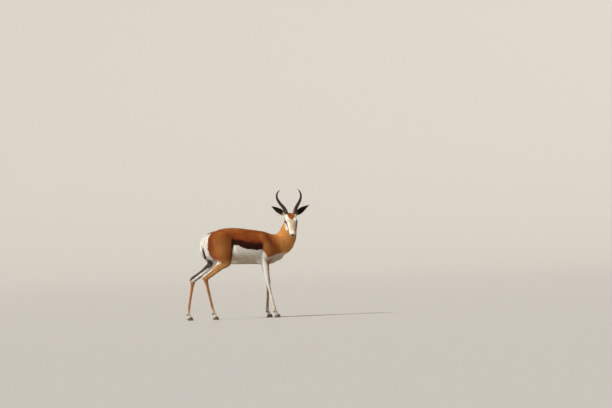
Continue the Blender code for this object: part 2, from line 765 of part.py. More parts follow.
def main():
    clear_scene()
    home, tools = collection("springbok"), collection("cutters")
    trunk = joined_flesh(home)

    tail_piece = tail(home)
    keep_clear(trunk, tail_piece, tools)
    neck = split(trunk, "neck", *NECK_CUT, home)
    head = part_head(neck, home, tools)

    coat = [trunk, neck, head]
    hard = []
    for label, side, joints in (("right", -1, FORE_RIGHT), ("left", 1, FORE_LEFT)):
        prefix = f"foreleg_{label}"
        leg = part_leg(trunk, prefix, side, FORE_INSIDE, FORE_SPAN, home, tools)
        pieces = divide_leg(leg, prefix, joints, FORE_SECTIONS, FORE_CUTS, home)
        hard += add_foot(prefix, pieces[-1], joints, home, tools)
        coat += pieces
    for label, side, joints in (("right", -1, HIND_RIGHT), ("left", 1, HIND_LEFT)):
        prefix = f"hindleg_{label}"
        leg = part_leg(trunk, prefix, side, HIND_INSIDE, HIND_SPAN, home, tools)
        pieces = divide_leg(leg, prefix, joints, HIND_SECTIONS, HIND_CUTS, home)
        hard += add_foot(prefix, pieces[-1], joints, home, tools)
        coat += pieces

    eyes, horns, ears = [], [], []
    for label, side in (("right", -1), ("left", 1)):
        eyes.append(eye(f"eye_{label}", side, home))
        keep_clear(head, eyes[-1], tools)
    for label, side in (("right", -1), ("left", 1)):
        horns.append(horn(f"horn_{label}", side, home))
        ears.append(ear(f"ear_{label}", EAR_TIPS[label], side, home))
        for piece in (horns[-1], ears[-1]):
            keep_clear(piece, head, tools)
            keep_clear(piece, neck, tools)

    looks = (
        (coat, "coat", CINNAMON, 0.8),
        ([tail_piece], "white_coat", WHITE, 0.8),
        (ears, "ear_coat", TAN, 0.8),
        (horns, "horn", HORN_BLACK, 0.45),
        (eyes, "eye", EYE_BROWN, 0.1),
        (hard, "hoof", HOOF_BLACK, 0.5),
    )
    everything = []
    for pieces, name, colour, roughness in looks:
        for piece in pieces:
            piece.data.materials.clear()
            piece.data.materials.append(material(f"{piece.name}_{name}", colour, roughness))
            everything.append(piece)
    stand_on_origin(everything, home)


main()
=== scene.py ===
"""Springbok ram at life size: skin, coat, horns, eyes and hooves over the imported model.

The shapes repeat the tables of the model's own source, in the same coordinates: the animal faces
+X, its right side is towards -Y and the floor is z = 0. FRAME_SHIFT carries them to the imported
frame. Sizes are in metres, and colours are linear.
"""

import math

import bmesh
import bpy
import numpy as np
from mathutils import Matrix, Vector
from mathutils.bvhtree import BVHTree
from mathutils.kdtree import KDTree


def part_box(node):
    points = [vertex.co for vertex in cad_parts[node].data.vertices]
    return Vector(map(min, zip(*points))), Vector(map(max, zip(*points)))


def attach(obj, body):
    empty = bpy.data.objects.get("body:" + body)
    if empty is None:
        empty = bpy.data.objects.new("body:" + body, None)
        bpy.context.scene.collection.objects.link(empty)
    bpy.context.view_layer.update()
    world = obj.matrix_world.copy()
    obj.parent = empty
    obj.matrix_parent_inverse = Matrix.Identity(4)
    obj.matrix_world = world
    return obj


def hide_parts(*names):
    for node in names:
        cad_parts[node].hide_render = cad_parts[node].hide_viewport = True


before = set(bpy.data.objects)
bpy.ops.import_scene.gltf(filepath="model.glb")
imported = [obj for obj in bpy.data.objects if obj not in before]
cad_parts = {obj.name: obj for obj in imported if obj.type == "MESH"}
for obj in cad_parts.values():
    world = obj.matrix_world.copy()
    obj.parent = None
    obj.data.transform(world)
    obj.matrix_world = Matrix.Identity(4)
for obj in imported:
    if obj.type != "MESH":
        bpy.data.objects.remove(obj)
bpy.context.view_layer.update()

# Fineness of the joined body
VOXEL = 0.004
SMOOTHING = 110
SMOOTH_ABOVE = (0.40, 0.56)  # height over which the legs' smoothing grows to the trunk's
SMOOTH_AROUND = (0.12, 0.20)  # the same for the distance from the middle of the face
TUBE_SIDES = 32
TUBE_STEPS = 6

# Trunk: x, back height, belly height, half width, egg (below 0 is narrower at the top)
TRUNK = [
    (-0.268, 0.735, 0.655, 0.030, 0.00),
    (-0.245, 0.764, 0.610, 0.062, 0.00),
    (-0.190, 0.791, 0.550, 0.088, 0.00),
    (-0.120, 0.817, 0.512, 0.098, 0.00),
    (-0.040, 0.825, 0.494, 0.105, -0.04),
    (0.050, 0.821, 0.490, 0.113, -0.10),
    (0.140, 0.807, 0.488, 0.114, -0.14),
    (0.220, 0.796, 0.484, 0.107, -0.20),
    (0.290, 0.782, 0.481, 0.096, -0.22),
    (0.350, 0.762, 0.484, 0.086, -0.18),
    (0.405, 0.735, 0.505, 0.074, -0.10),
    (0.445, 0.690, 0.545, 0.048, 0.00),
]
TRUNK_SQUARE = 2.2

# Neck: x, y, z, throat, nape, half width, turn of the throat side to the right in degrees
NECK = [
    (0.335, 0.000, 0.640, 0.115, 0.110, 0.074, 0),
    (0.405, 0.000, 0.660, 0.122, 0.100, 0.073, 0),
    (0.462, -0.003, 0.690, 0.124, 0.080, 0.068, 10),
    (0.504, -0.012, 0.735, 0.102, 0.076, 0.067, 30),
    (0.525, -0.028, 0.785, 0.082, 0.074, 0.067, 55),
    (0.538, -0.042, 0.835, 0.056, 0.064, 0.068, 80),
    (0.534, -0.054, 0.878, 0.046, 0.054, 0.056, 100),
    (0.531, -0.066, 0.914, 0.034, 0.042, 0.042, 104),
]

# Head: the point between the eyes, its turn to the right and the slope of the face
EYE_CENTRE = Vector((0.516, -0.124, 0.861))
HEAD_TURN = 102
FACE_SLOPE = 50
HEAD_SCALE = 1.03
EYE_ALONG = 0.092
EYE_SIDE = 0.0405
EYE_RISE = 0.021
EYE_RADIUS = 0.0165
HEAD_MIDDLE = (0.12, 0.0, 0.0)
# distance from the poll, top, underside, half width, egg, squareness
HEAD = [
    (0.000, 0.032, 0.046, 0.034, 0.00, 2.0),
    (0.020, 0.048, 0.060, 0.041, 0.05, 2.1),
    (0.045, 0.058, 0.068, 0.045, 0.12, 2.2),
    (0.070, 0.058, 0.064, 0.047, 0.18, 2.3),
    (0.092, 0.053, 0.056, 0.046, 0.18, 2.3),
    (0.115, 0.046, 0.046, 0.041, 0.12, 2.3),
    (0.140, 0.039, 0.038, 0.035, 0.05, 2.3),
    (0.165, 0.033, 0.032, 0.030, 0.00, 2.3),
    (0.190, 0.028, 0.029, 0.0275, 0.00, 2.3),
    (0.210, 0.026, 0.028, 0.0265, 0.00, 2.3),
    (0.225, 0.020, 0.024, 0.023, 0.00, 2.2),
    (0.236, 0.010, 0.014, 0.013, 0.00, 2.0),
]

# Forelegs: shoulder point, elbow, knee, fetlock and coronet of the right and the left leg
FORE_RIGHT = [
    (0.350, -0.062, 0.620),
    (0.268, -0.080, 0.545),
    (0.288, -0.079, 0.325),
    (0.345, -0.078, 0.072),
    (0.367, -0.078, 0.028),
]
FORE_LEFT = [
    (0.372, 0.062, 0.620),
    (0.312, 0.080, 0.545),
    (0.349, 0.079, 0.325),
    (0.331, 0.078, 0.072),
    (0.347, 0.078, 0.028),
]
LEG_END = 0.25  # how far a leg's tube runs past the coronet, as a part of the pastern
LEG_ROUNDING = 3  # how often the bends of a leg are averaged
# place along the leg (1 is the elbow, 2 the knee), front, back, half width
FORE_SECTIONS = [
    (0.30, 0.050, 0.050, 0.034),
    (1.00, 0.046, 0.044, 0.031),
    (1.20, 0.038, 0.036, 0.027),
    (1.50, 0.029, 0.029, 0.0235),
    (1.80, 0.0225, 0.0225, 0.0200),
    (1.92, 0.0215, 0.0205, 0.0200),
    (2.03, 0.0210, 0.0195, 0.0195),
    (2.14, 0.0150, 0.0165, 0.0155),
    (2.35, 0.0120, 0.0135, 0.0125),
    (2.70, 0.0115, 0.0130, 0.0122),
    (2.88, 0.0130, 0.0150, 0.0140),
    (3.00, 0.0160, 0.0175, 0.0168),
    (3.30, 0.0145, 0.0150, 0.0155),
    (3.70, 0.0160, 0.0160, 0.0168),
    (4.20, 0.0190, 0.0190, 0.0185),
]

# Hind legs: hip, stifle, hock, fetlock and coronet
HIND_RIGHT = [
    (-0.165, -0.062, 0.705),
    (-0.103, -0.088, 0.508),
    (-0.306, -0.082, 0.371),
    (-0.241, -0.080, 0.072),
    (-0.222, -0.080, 0.028),
]
HIND_LEFT = [
    (-0.170, 0.062, 0.705),
    (-0.146, 0.088, 0.502),
    (-0.368, 0.084, 0.358),
    (-0.424, 0.084, 0.070),
    (-0.410, 0.084, 0.028),
]
HIND_SECTIONS = [
    (0.00, 0.095, 0.105, 0.045),
    (0.30, 0.104, 0.112, 0.052),
    (0.60, 0.090, 0.105, 0.052),
    (0.85, 0.064, 0.085, 0.046),
    (1.00, 0.044, 0.078, 0.040),
    (1.22, 0.029, 0.058, 0.032),
    (1.50, 0.0240, 0.044, 0.0240),
    (1.75, 0.0220, 0.039, 0.0185),
    (1.90, 0.0215, 0.040, 0.0175),
    (1.98, 0.0225, 0.039, 0.0190),
    (2.06, 0.0215, 0.028, 0.0185),
    (2.20, 0.0155, 0.0175, 0.0150),
    (2.45, 0.0130, 0.0140, 0.0130),
    (2.75, 0.0122, 0.0135, 0.0125),
    (2.90, 0.0135, 0.0155, 0.0142),
    (3.00, 0.0162, 0.0180, 0.0170),
    (3.30, 0.0145, 0.0150, 0.0155),
    (3.70, 0.0160, 0.0160, 0.0168),
    (4.20, 0.0190, 0.0190, 0.0185),
]

# Muscle masses on each side: x, distance from the midline, z, three radii, lean in degrees
MUSCLES = [
    (0.298, 0.050, 0.672, 0.054, 0.046, 0.110, -30),
    (0.258, 0.060, 0.598, 0.070, 0.046, 0.052, 20),
    (0.366, 0.044, 0.606, 0.052, 0.042, 0.056, 0),
    (-0.040, 0.050, 0.742, 0.080, 0.040, 0.052, 10),
    (-0.140, 0.056, 0.704, 0.125, 0.060, 0.098, 0),
    (-0.230, 0.056, 0.655, 0.074, 0.048, 0.122, 0),
]
BRISKET = (0.410, 0.000, 0.575, 0.072, 0.056, 0.066)
# On the head: distance from the poll, side, rise, three radii
HEAD_MASSES = [
    (0.086, 0.034, 0.026, 0.030, 0.019, 0.024),
    (0.066, 0.025, -0.020, 0.048, 0.022, 0.038),
    (0.044, 0.028, 0.040, 0.030, 0.026, 0.024),
    (0.020, 0.032, 0.014, 0.020, 0.020, 0.022),
]

# Tail: path and half thickness
TAIL = [
    (-0.228, 0.000, 0.742, 0.016),
    (-0.264, -0.002, 0.744, 0.017),
    (-0.286, -0.008, 0.706, 0.017),
    (-0.289, -0.013, 0.656, 0.016),
    (-0.285, -0.017, 0.606, 0.013),
    (-0.281, -0.018, 0.562, 0.005),
]
TAIL_FLATNESS = 1.45

# Horns: root on the head, then steps sideways, up and back from it, and the thickness there
HORN_ROOT = (0.036, 0.034, 0.050)
HORN = [
    (-0.003, -0.020, 0.016, 0.0370),
    (0.001, 0.004, 0.004, 0.0365),
    (0.012, 0.042, 0.020, 0.0345),
    (0.033, 0.078, 0.044, 0.0305),
    (0.057, 0.112, 0.066, 0.0260),
    (0.073, 0.150, 0.082, 0.0210),
    (0.073, 0.184, 0.084, 0.0155),
    (0.062, 0.208, 0.074, 0.0105),
    (0.048, 0.223, 0.060, 0.0050),
]
HORN_RINGED_PART = 0.60
HORN_FLATNESS = 0.92

# Ears: root on the head, then each tip's direction as sideways, up and back
EAR_ROOT = (0.012, 0.031, 0.011)
EAR_TIPS = {"right": (0.132, 0.084, 0.006), "left": (0.145, 0.084, 0.006)}
EAR_WIDTH = 0.056
EAR_ROOT_WIDTH = 0.056
EAR_CUP = 0.55  # half the arc of the open leaf, as a part of a right angle
EAR_ROLL = 1.2  # how much more of it is rolled up at the root
EAR_DEPTH = 0.45  # part of the roll's radius that lies behind the ear's line
EAR_TIP_BACK = 0.008
EAR_REACH = 0.22  # farther than this from between the ears, nothing belongs to an ear

# Hooves, with lengths along the toe's direction from the coronet's middle
HOOF_HALF_LENGTHS = (0.0255, 0.0245, 0.0195)
HOOF_MIDDLES = (0.0060, 0.0030, -0.0010)
HOOF_WIDTH = 0.0185
HOOF_INNER = 0.42
HOOF_TAPER = 0.42
HOOF_NARROWING = 0.10
CORONET_HEIGHT = 0.026
CORONET_SLOPE = 0.36
CLEFT = 0.0024
DEWCLAW_RADII = (0.0065, 0.0060, 0.0105)
DEWCLAW_SIDE = 0.0105
DEWCLAW_BEHIND = 0.0165
DEWCLAW_HEIGHT = 0.054
DEWCLAW_PLACE = 0.4  # from the fetlock to the coronet
DEWCLAW_TILT = -20

# The same curves drawn finer, with their small details
HORN_FINE_STEPS = 26
HORN_FINE_SIDES = 40
HORN_FINE_RINGS = 15
HORN_FINE_DEPTH = 0.0020
HORN_GRAIN = 0.00022
HORN_ROOT_SCALE = (0.45, 0.10)  # thickness of the hidden end, and where the full one is reached
PHILTRUM = (0.0012, 0.0014)  # half width and depth of the groove down the nose
EAR_FINE_STEPS = 44
EAR_FINE_ACROSS = 26
EAR_FINE_THICK = 0.0026
HOOF_FINE_SIDES = 40
HOOF_FINE_LEVELS = 16
HOOF_RIDGE = 0.00018
HOOF_SHOULDER = 0.16  # how much the top edge is drawn in
DEWCLAW_SCALE = 0.78
DEWCLAW_SUNK = 0.0032  # how far it is moved into the leg
DEWCLAW_CLOSER = 0.9  # the same sideways, as a part of its distance
EAR_STALK = (0.42, 0.16)  # width at the root, and the place along where the full width is reached
NAPE = (-0.006, 0.0, 0.016)  # on the head, the middle of the part smoothed between the ears
NAPE_REACH = (0.062, 0.030)
NAPE_ROUNDS = 36

# Depth of the coat over the skin
TRUNK_COAT = 0.0034
LEG_COAT = 0.0014
FACE_COAT = 0.0009
TAIL_COAT = 0.0030

# Swellings and hollows of the body on both sides: x, distance from the midline, z, their three
# radii, the turn from the front towards the floor in degrees, and the height
FORMS_STAND = 1.5  # how strongly the forms of the body stand out
BODY_FORMS = [
    (0.300, 0.085, 0.640, 0.050, 0.060, 0.110, -25, 0.0050),
    (0.345, 0.075, 0.700, 0.014, 0.050, 0.095, -22, -0.0028),
    (0.245, 0.090, 0.610, 0.016, 0.050, 0.060, 15, -0.0045),
    (0.262, 0.085, 0.560, 0.026, 0.030, 0.026, 0, 0.0035),
    (0.290, 0.050, 0.768, 0.024, 0.040, 0.036, -20, 0.0026),
    (-0.030, 0.100, 0.655, 0.018, 0.060, 0.075, 8, -0.0060),
    (-0.058, 0.095, 0.560, 0.022, 0.050, 0.070, 12, 0.0040),
    (-0.085, 0.090, 0.775, 0.036, 0.050, 0.022, 10, 0.0040),
    (0.000, 0.100, 0.735, 0.060, 0.060, 0.028, 8, -0.0035),
    (-0.150, 0.100, 0.650, 0.050, 0.060, 0.090, -18, 0.0045),
    (-0.205, 0.090, 0.620, 0.014, 0.060, 0.100, -14, -0.0034),
    (-0.150, 0.090, 0.480, 0.024, 0.040, 0.030, 30, -0.0030),
    (0.390, 0.055, 0.640, 0.020, 0.040, 0.080, -38, -0.0030),
    (0.430, 0.060, 0.700, 0.030, 0.040, 0.080, -38, 0.0028),
]
RIBS = (0.030, 0.240, 0.0225)  # first, last and the distance between them
RIB_HEIGHT = 0.0007
RIB_SPAN = (0.560, 0.745)
SPINE_GROOVE = (0.006, 0.0022)  # half width and depth
TENDON_GROOVE = 0.0009
ACHILLES_HOLLOW = 0.0045

# Forms of the head on both sides: distance from the poll, side, rise, three radii, height
HEAD_FORMS = [
    (0.092, 0.044, 0.043, 0.022, 0.016, 0.008, 0.0024),
    (0.070, 0.050, 0.010, 0.014, 0.012, 0.014, -0.0016),
    (0.118, 0.046, 0.002, 0.034, 0.012, 0.006, 0.0018),
    (0.122, 0.040, 0.020, 0.012, 0.012, 0.008, -0.0020),
    (0.150, 0.036, 0.016, 0.030, 0.012, 0.010, -0.0012),
    (0.072, 0.046, -0.034, 0.030, 0.020, 0.022, 0.0022),
    (0.110, 0.040, -0.030, 0.018, 0.014, 0.014, -0.0016),
    (0.214, 0.021, 0.006, 0.013, 0.008, 0.010, 0.0012),
    (0.205, 0.020, -0.018, 0.018, 0.010, 0.006, 0.0008),
    (0.060, 0.000, 0.060, 0.036, 0.008, 0.020, -0.0012),
]

# Lids: half length and half heights of the opening, round the eye's own axis
EYE_AXIS = (0.24, 0.94, 0.22)
LID_SLOPE = -24
LID_LONG = 0.0118
LID_ABOVE = 0.0080
LID_BELOW = 0.0066
LID_POWER = 1.75
LID_STANDS = 0.0011
LID_SUNK = 0.0034
LID_FOLD = 0.0010
LID_REACH = (62.0, 41.0)  # degrees from the eye's axis over which the lids join the head
LASHES = 28
LASH_LENGTH = 0.0048
EYE_RING = (1.85, 2.45)  # dark hair round the lids, in half sizes of the opening
EYE_BULGE = 0.05
PUPIL_SIZE = (19, 9)  # half breadth and half height, in degrees from the eye's axis
IRIS_EDGE = (39, 35)  # degrees from the axis at which the iris begins and is full

# Nose and mouth, in the head's own distances
NOSTRIL = (0.2300, 0.0122, 0.0088)
NOSTRIL_LINE = (-0.62, 0.62, 0.48)
NOSTRIL_OUT = (0.45, 0.60, 0.66)
NOSTRIL_SIZE = (0.0062, 0.0023, 0.0050)
NOSTRIL_DEPTH = 0.0060
NOSTRIL_RIM = 0.0010
NOSTRIL_DARK = (0.16, 0.34)  # depth of the hollow where bare skin begins, and where it is full
MOUTH = (0.168, 0.238)
MOUTH_RISE = (-0.0190, -0.0085)
MOUTH_SIZE = (0.0013, 0.0017)
NOSE_PAD = (0.2375, 0.0025, 0.0122, 1.15)  # distance from the poll, rise, reach and breadth

# Where the head is finest: distance from an eye, and from the poll to the nose
FINEST_EYE = 0.030
FINEST_NOSE = 0.196

# Markings. The rump's white lies behind a line given as height and place, seen from the rear
# quarter; the flank's band lies between two lines given as x and z
REAR_VIEW = (0.9397, 0.342)
RUMP_EDGE = [
    (0.440, -0.230),
    (0.514, -0.182),
    (0.545, -0.178),
    (0.583, -0.203),
    (0.644, -0.225),
    (0.699, -0.224),
    (0.751, -0.213),
    (0.795, -0.176),
    (0.830, -0.110),
]
BAND_TOP = [(-0.060, 0.742), (0.020, 0.728), (0.087, 0.708), (0.182, 0.692), (0.260, 0.690)]
BELLY_EDGE = [
    (-0.080, 0.600),
    (-0.030, 0.668),
    (0.022, 0.660),
    (0.088, 0.627),
    (0.200, 0.617),
    (0.245, 0.622),
    (0.268, 0.590),
    (0.290, 0.548),
    (0.330, 0.556),
    (0.400, 0.580),
    (0.460, 0.584),
]
THIGH_FRONT = [(0.462, -0.100), (0.505, -0.059), (0.568, -0.038), (0.667, -0.025), (0.740, -0.012)]
CREST_WIDTH = 0.0055
BRISKET_TAN = 0.35  # how much brown shows through the white of the lower chest

# Soft spots of colour: x, half length, z and half height
HAUNCH = (-0.150, 0.075, 0.640, 0.090)
SHOULDER = (0.305, 0.050, 0.650, 0.070)
SADDLE = (0.115, 0.050, 0.778, 0.020)
WITHERS_SIDE = (0.290, 0.030, 0.715, 0.035)
# painted shade: the dark patch high between the hind legs
GROIN_SHADE = (-0.215, 0.040, 0.505, 0.040)

# Markings of the face, in the head's own distances
FOREHEAD_ROUND = 32.0  # how fast the brown patch's lower edge curves up from the middle
CHEEK_EDGE = (0.026, 1.25)  # where the white cheek begins, and its slope to the throat
STRIPE_PLACES = (0.100, 0.118, 0.135, 0.190)
STRIPE_WIDTHS = (0.0135, 0.0115, 0.0092, 0.0060)
STRIPE = [
    (0.100, 0.048, 0.023),
    (0.116, 0.044, 0.012),
    (0.140, 0.037, 0.002),
    (0.165, 0.031, -0.006),
    (0.188, 0.027, -0.012),
]

# Colours of the coat, the skin, the horns, the claws and the eyes, as linear red, green and blue
CINNAMON = (0.390, 0.106, 0.017)
RED_BROWN = (0.285, 0.052, 0.009)
CHOCOLATE = (0.034, 0.0065, 0.0025)
LIGHT_TAN = (0.530, 0.225, 0.066)
GOLD = (0.660, 0.285, 0.076)
SHANK_TAN = (0.640, 0.320, 0.115)
# cream of the face's blaze, deepened with painted shade
BLAZE_CREAM_AND_SHADE = (0.640, 0.450, 0.260)
# painted shade: warm darker cream for the white of the belly where it faces the floor
BELLY_SHADE = (0.640, 0.520, 0.400)
LEG_TAN = (0.480, 0.205, 0.064)
CREAM = (0.760, 0.670, 0.540)
WHITE = (0.880, 0.850, 0.790)
FACE_BROWN = (0.330, 0.082, 0.010)
STRIPE_BROWN = (0.040, 0.016, 0.008)
# painted shade: near-black for the shaded insides of the hind shanks and between the hind legs
INNER_SHADE = (0.020, 0.010, 0.006)
BLACK_SKIN = (0.024, 0.019, 0.017)
# painted shade: near-black for the inner face of the ears
EAR_INSIDE_SHADE = (0.014, 0.010, 0.008)
EAR_OUTSIDE = (0.520, 0.360, 0.200)
TAIL_TIP = (0.040, 0.022, 0.013)
HORN_BLACK = (0.007, 0.005, 0.004)
HORN_BROWN = (0.105, 0.052, 0.024)
HOOF_BLACK = (0.085, 0.066, 0.050)
HOOF_EDGE = (0.290, 0.220, 0.150)
PUPIL_BLACK = (0.003, 0.003, 0.004)
IRIS_BROWN = (0.022, 0.010, 0.005)
IRIS_LIGHT = (0.055, 0.026, 0.010)

# Tufts to a square metre, their length, width and lift in degrees
TUFTS = {
    "trunk": (300000, 0.0120, 0.0014, 6.5),
    "rump": (280000, 0.0170, 0.0017, 9.0),
    "neck": (340000, 0.0105, 0.0014, 7.0),
    "leg": (430000, 0.0065, 0.0010, 6.0),
    "face": (800000, 0.0046, 0.0007, 6.0),
    "ear": (560000, 0.0065, 0.0008, 9.0),
    "tail": (420000, 0.0230, 0.0015, 10.0),
}
TUFT_SEED = 11
TUFT_SPREAD = 9
TUFT_ROLL = 12
UV_PATCH = 0.0015
UNWRAP_FACES = 5000

# Camera: lens and sensor in millimetres, the picture's width at the animal, its turn and roll in
# degrees, and the place its middle looks at
LENS = 400.0
SENSOR = 36.0
VIEW_WIDTH = 5.514
VIEW_TURN = -20.0
VIEW_ROLL = 2.0
VIEW_MIDDLE = (0.6664, 1.0134)

# Studio: floor, wall, soft sun and pale light all round
FLOOR_COLOUR = (0.50, 0.485, 0.46)
BACKDROP_COLOUR = (1.00, 0.95, 0.88)
BACKDROP_LIT = 0.43  # cosine to the sun at which a wall needs no light of its own
BACKDROP_GLOW = 0.30
FLOOR_STEP = 0.002  # how far the wall lies under the floor where they overlap
WORLD_COLOUR = (0.86, 0.92, 1.00)
WORLD_POWER = 0.24
FLOOR_SHIFT = 20.0
FLOOR_RADIUS = 50.0
COVE_RADIUS = 20.0
SUN_PLACE = (-0.68, 0.50, 0.78)  # towards the picture's right, the camera and the sky
SUN_POWER = 4.5
SUN_SOFTNESS = 9.0
SUN_COLOUR = (1.0, 0.95, 0.87)

# Skin and materials: painted shade that darkens the skin under the coat, its triangles, the finish of its
# bare parts, and the used part of a noise
SKIN_PAINTED_SHADE = 0.85
SKIN_TRIANGLES = 190000
BARE_ROUGHNESS = 0.36
NOISE_SPAN = (0.3, 0.7)

LABELS = {-1: "right", 1: "left"}
LEGS = (
    (-1, FORE_RIGHT, FORE_SECTIONS),
    (1, FORE_LEFT, FORE_SECTIONS),
    (-1, HIND_RIGHT, HIND_SECTIONS),
    (1, HIND_LEFT, HIND_SECTIONS),
)


def smooth_curve(rows, steps):
    """Points of a smooth curve through the rows, with equal steps between neighbouring rows."""
    rows = np.asarray(rows, float)
    ends = np.vstack([2 * rows[0] - rows[1], rows, 2 * rows[-1] - rows[-2]])
    points = []
    for i in range(1, len(rows)):
        p0, p1, p2, p3 = ends[i - 1:i + 3]
        for t in np.arange(steps) / steps:
            bend = (2 * p0 - 5 * p1 + 4 * p2 - p3) * t**2 + (3 * p1 - p0 - 3 * p2 + p3) * t**3
            points.append(0.5 * (2 * p1 + (p2 - p0) * t + bend))
    points.append(rows[-1])
    return np.array(points)


def unit(v):
    return v / np.linalg.norm(v, axis=-1, keepdims=True)


def section(front_axis, side_axis, front, back, half, egg, square, sides):
    """One closed outline, rounder or squarer, that is narrower on one side where egg isn't 0."""
    t = 2 * math.pi * np.arange(sides) / sides
    c = np.sign(np.cos(t)) * np.abs(np.cos(t)) ** (2 / square)
    s = np.sign(np.sin(t)) * np.abs(np.sin(t)) ** (2 / square)
    along = np.where(c > 0, front, back) * c
    across = half * s * (1 + egg * c)
    return along[:, None] * front_axis + across[:, None] * side_axis


def loft(bm, rings):
    """Closed skin over rings of equal count, with a point at the middle of each end."""
    rows = [[bm.verts.new(p) for p in ring] for ring in rings]
    count = len(rows[0])
    for low, high in zip(rows, rows[1:]):
        for i in range(count):
            j = (i + 1) % count
            bm.faces.new((low[i], low[j], high[j], high[i]))
    for ring, source in ((rows[0], rings[0]), (rows[-1], rings[-1])):
        middle = bm.verts.new(np.mean(source, axis=0))
        for i in range(count):
            bm.faces.new((ring[i], ring[(i + 1) % count], middle))


def tube(bm, path, facing, sizes, square=2.0, sides=TUBE_SIDES):
    """Tube along path. facing is the front side's direction and sizes holds front, back, half, egg."""
    path = np.asarray(path, float)
    tangent = unit(np.gradient(path, axis=0))
    facing = np.broadcast_to(np.asarray(facing, float), path.shape)
    front = unit(facing - tangent * np.sum(facing * tangent, axis=1, keepdims=True))
    side = np.cross(tangent, front)
    square = np.broadcast_to(square, len(path))
    rings = [
        path[i] + section(front[i], side[i], *sizes[i], square[i], sides)
        for i in range(len(path))
    ]
    loft(bm, rings)


def ellipsoid(bm, centre, radii, turn=Matrix.Identity(4), segments=24):
    size = Matrix.Diagonal((*radii, 1.0))
    place = Matrix.Translation(centre) @ turn @ size
    rings = segments * 2 // 3
    bmesh.ops.create_uvsphere(bm, u_segments=segments, v_segments=rings, radius=1.0, matrix=place)


def ordered_sphere(centre, radii, turn=Matrix.Identity(4), segments=24):
    """Ellipsoid on its own, with its faces sorted, because Blender lists them differently each run."""
    bm = bmesh.new()
    ellipsoid(bm, centre, radii, turn, segments)
    bm.verts.index_update()
    count = len(bm.verts)

    def order(face):
        first, second, third = sorted(vert.index for vert in face.verts)[:3]
        return (first * count + second) * count + third

    bm.faces.sort(key=order)
    return bm


def head_axes():
    """Muzzle, left side and face directions of the head, as unit vectors."""
    turn, slope = math.radians(HEAD_TURN), math.radians(FACE_SLOPE)
    ahead = Vector((math.cos(turn), -math.sin(turn), 0.0))
    muzzle = ahead * math.cos(slope) - Vector((0, 0, 1)) * math.sin(slope)
    face = ahead * math.sin(slope) + Vector((0, 0, 1)) * math.cos(slope)
    return muzzle, face.cross(muzzle), face


def on_head(along, side, rise):
    """World place of a point given by its distances from the poll, the midline and the axis."""
    muzzle, left, face = head_axes()
    shift = Vector((along - EYE_ALONG, side, rise - EYE_RISE)) * HEAD_SCALE
    return EYE_CENTRE + shift.x * muzzle + shift.y * left + shift.z * face


def head_turn():
    muzzle, left, face = head_axes()
    return Matrix((muzzle, left, face)).transposed().to_4x4()


def add_trunk(bm):
    rows = smooth_curve(TRUNK, TUBE_STEPS)
    middle = (rows[:, 1] + rows[:, 2]) / 2
    path = np.column_stack([rows[:, 0], 0 * middle, middle])
    half_depth = (rows[:, 1] - rows[:, 2]) / 2
    sizes = np.column_stack([half_depth, half_depth, rows[:, 3], rows[:, 4]])
    up, left = np.array((0.0, 0.0, 1.0)), np.array((0.0, 1.0, 0.0))
    rings = [
        spot + section(up, left, *size, TRUNK_SQUARE, TUBE_SIDES)
        for spot, size in zip(path, sizes)
    ]
    loft(bm, rings)


def add_neck(bm):
    rows = smooth_curve(NECK, TUBE_STEPS)
    turn = np.radians(rows[:, 6])
    facing = np.column_stack([np.cos(turn), -np.sin(turn), 0 * turn])
    sizes = np.column_stack([rows[:, 3], rows[:, 4], rows[:, 5], 0 * turn])
    tube(bm, rows[:, :3], facing, sizes)


def add_head(bm):
    rows = smooth_curve(HEAD, TUBE_STEPS)
    _, left, face = (np.array(axis) for axis in head_axes())
    rings = []
    for along, top, under, half, egg, square in rows:
        spot = np.array(on_head(along, 0.0, 0.0))
        sizes = (HEAD_SCALE * top, HEAD_SCALE * under, HEAD_SCALE * half)
        rings.append(spot + section(face, left, *sizes, egg, square, TUBE_SIDES))
    loft(bm, rings)
    for along, side, rise, *radii in HEAD_MASSES:
        for sign in (-1, 1):
            sizes = [HEAD_SCALE * radius for radius in radii]
            ellipsoid(bm, on_head(along, sign * side, rise), sizes, head_turn())


def leg_rows(joints, sections):
    """Path points and section sizes along a leg, from the joints and the sections between them."""
    rows = smooth_curve(sections, TUBE_STEPS)
    joints = np.asarray(joints, float)
    last = len(joints) - 1
    place = np.minimum(rows[:, 0], last + LEG_END)
    start = np.minimum(place.astype(int), last - 1)
    path = joints[start] + (place - start)[:, None] * (joints[start + 1] - joints[start])
    for _ in range(LEG_ROUNDING):
        path[1:-1] = 0.25 * path[:-2] + 0.5 * path[1:-1] + 0.25 * path[2:]
    sizes = np.column_stack([rows[:, 1], rows[:, 2], rows[:, 3], 0 * place])
    return path, sizes


def add_leg(bm, joints, sections):
    path, sizes = leg_rows(joints, sections)
    tube(bm, path, (1.0, 0.0, 0.0), sizes)


def add_muscles(bm):
    for x, side, z, long, wide, tall, lean in MUSCLES:
        for sign in (-1, 1):
            turn = Matrix.Rotation(math.radians(lean), 4, "Y")
            ellipsoid(bm, (x, sign * side, z), (long, wide, tall), turn)
    ellipsoid(bm, BRISKET[:3], BRISKET[3:])


def softness(place):
    """How much the joined body is smoothed: fully on the trunk, little on the face and feet."""
    distance = (Vector(place) - on_head(*HEAD_MIDDLE)).length
    body = np.interp(place[2], SMOOTH_ABOVE, (0.0, 1.0))
    head = np.interp(distance, SMOOTH_AROUND, (0.0, 1.0))
    return 0.03 + 0.09 * body + 0.88 * min(body, head) ** 1.5


def sideways_up_back(step, side):
    """World direction of a step given sideways, up and back from the head's own heading."""
    turn = math.radians(HEAD_TURN)
    ahead = Vector((math.cos(turn), -math.sin(turn), 0.0))
    left = Vector((math.sin(turn), math.cos(turn), 0.0))
    step = Vector(step)
    return side * step.x * left + step.y * Vector((0, 0, 1)) - step.z * ahead


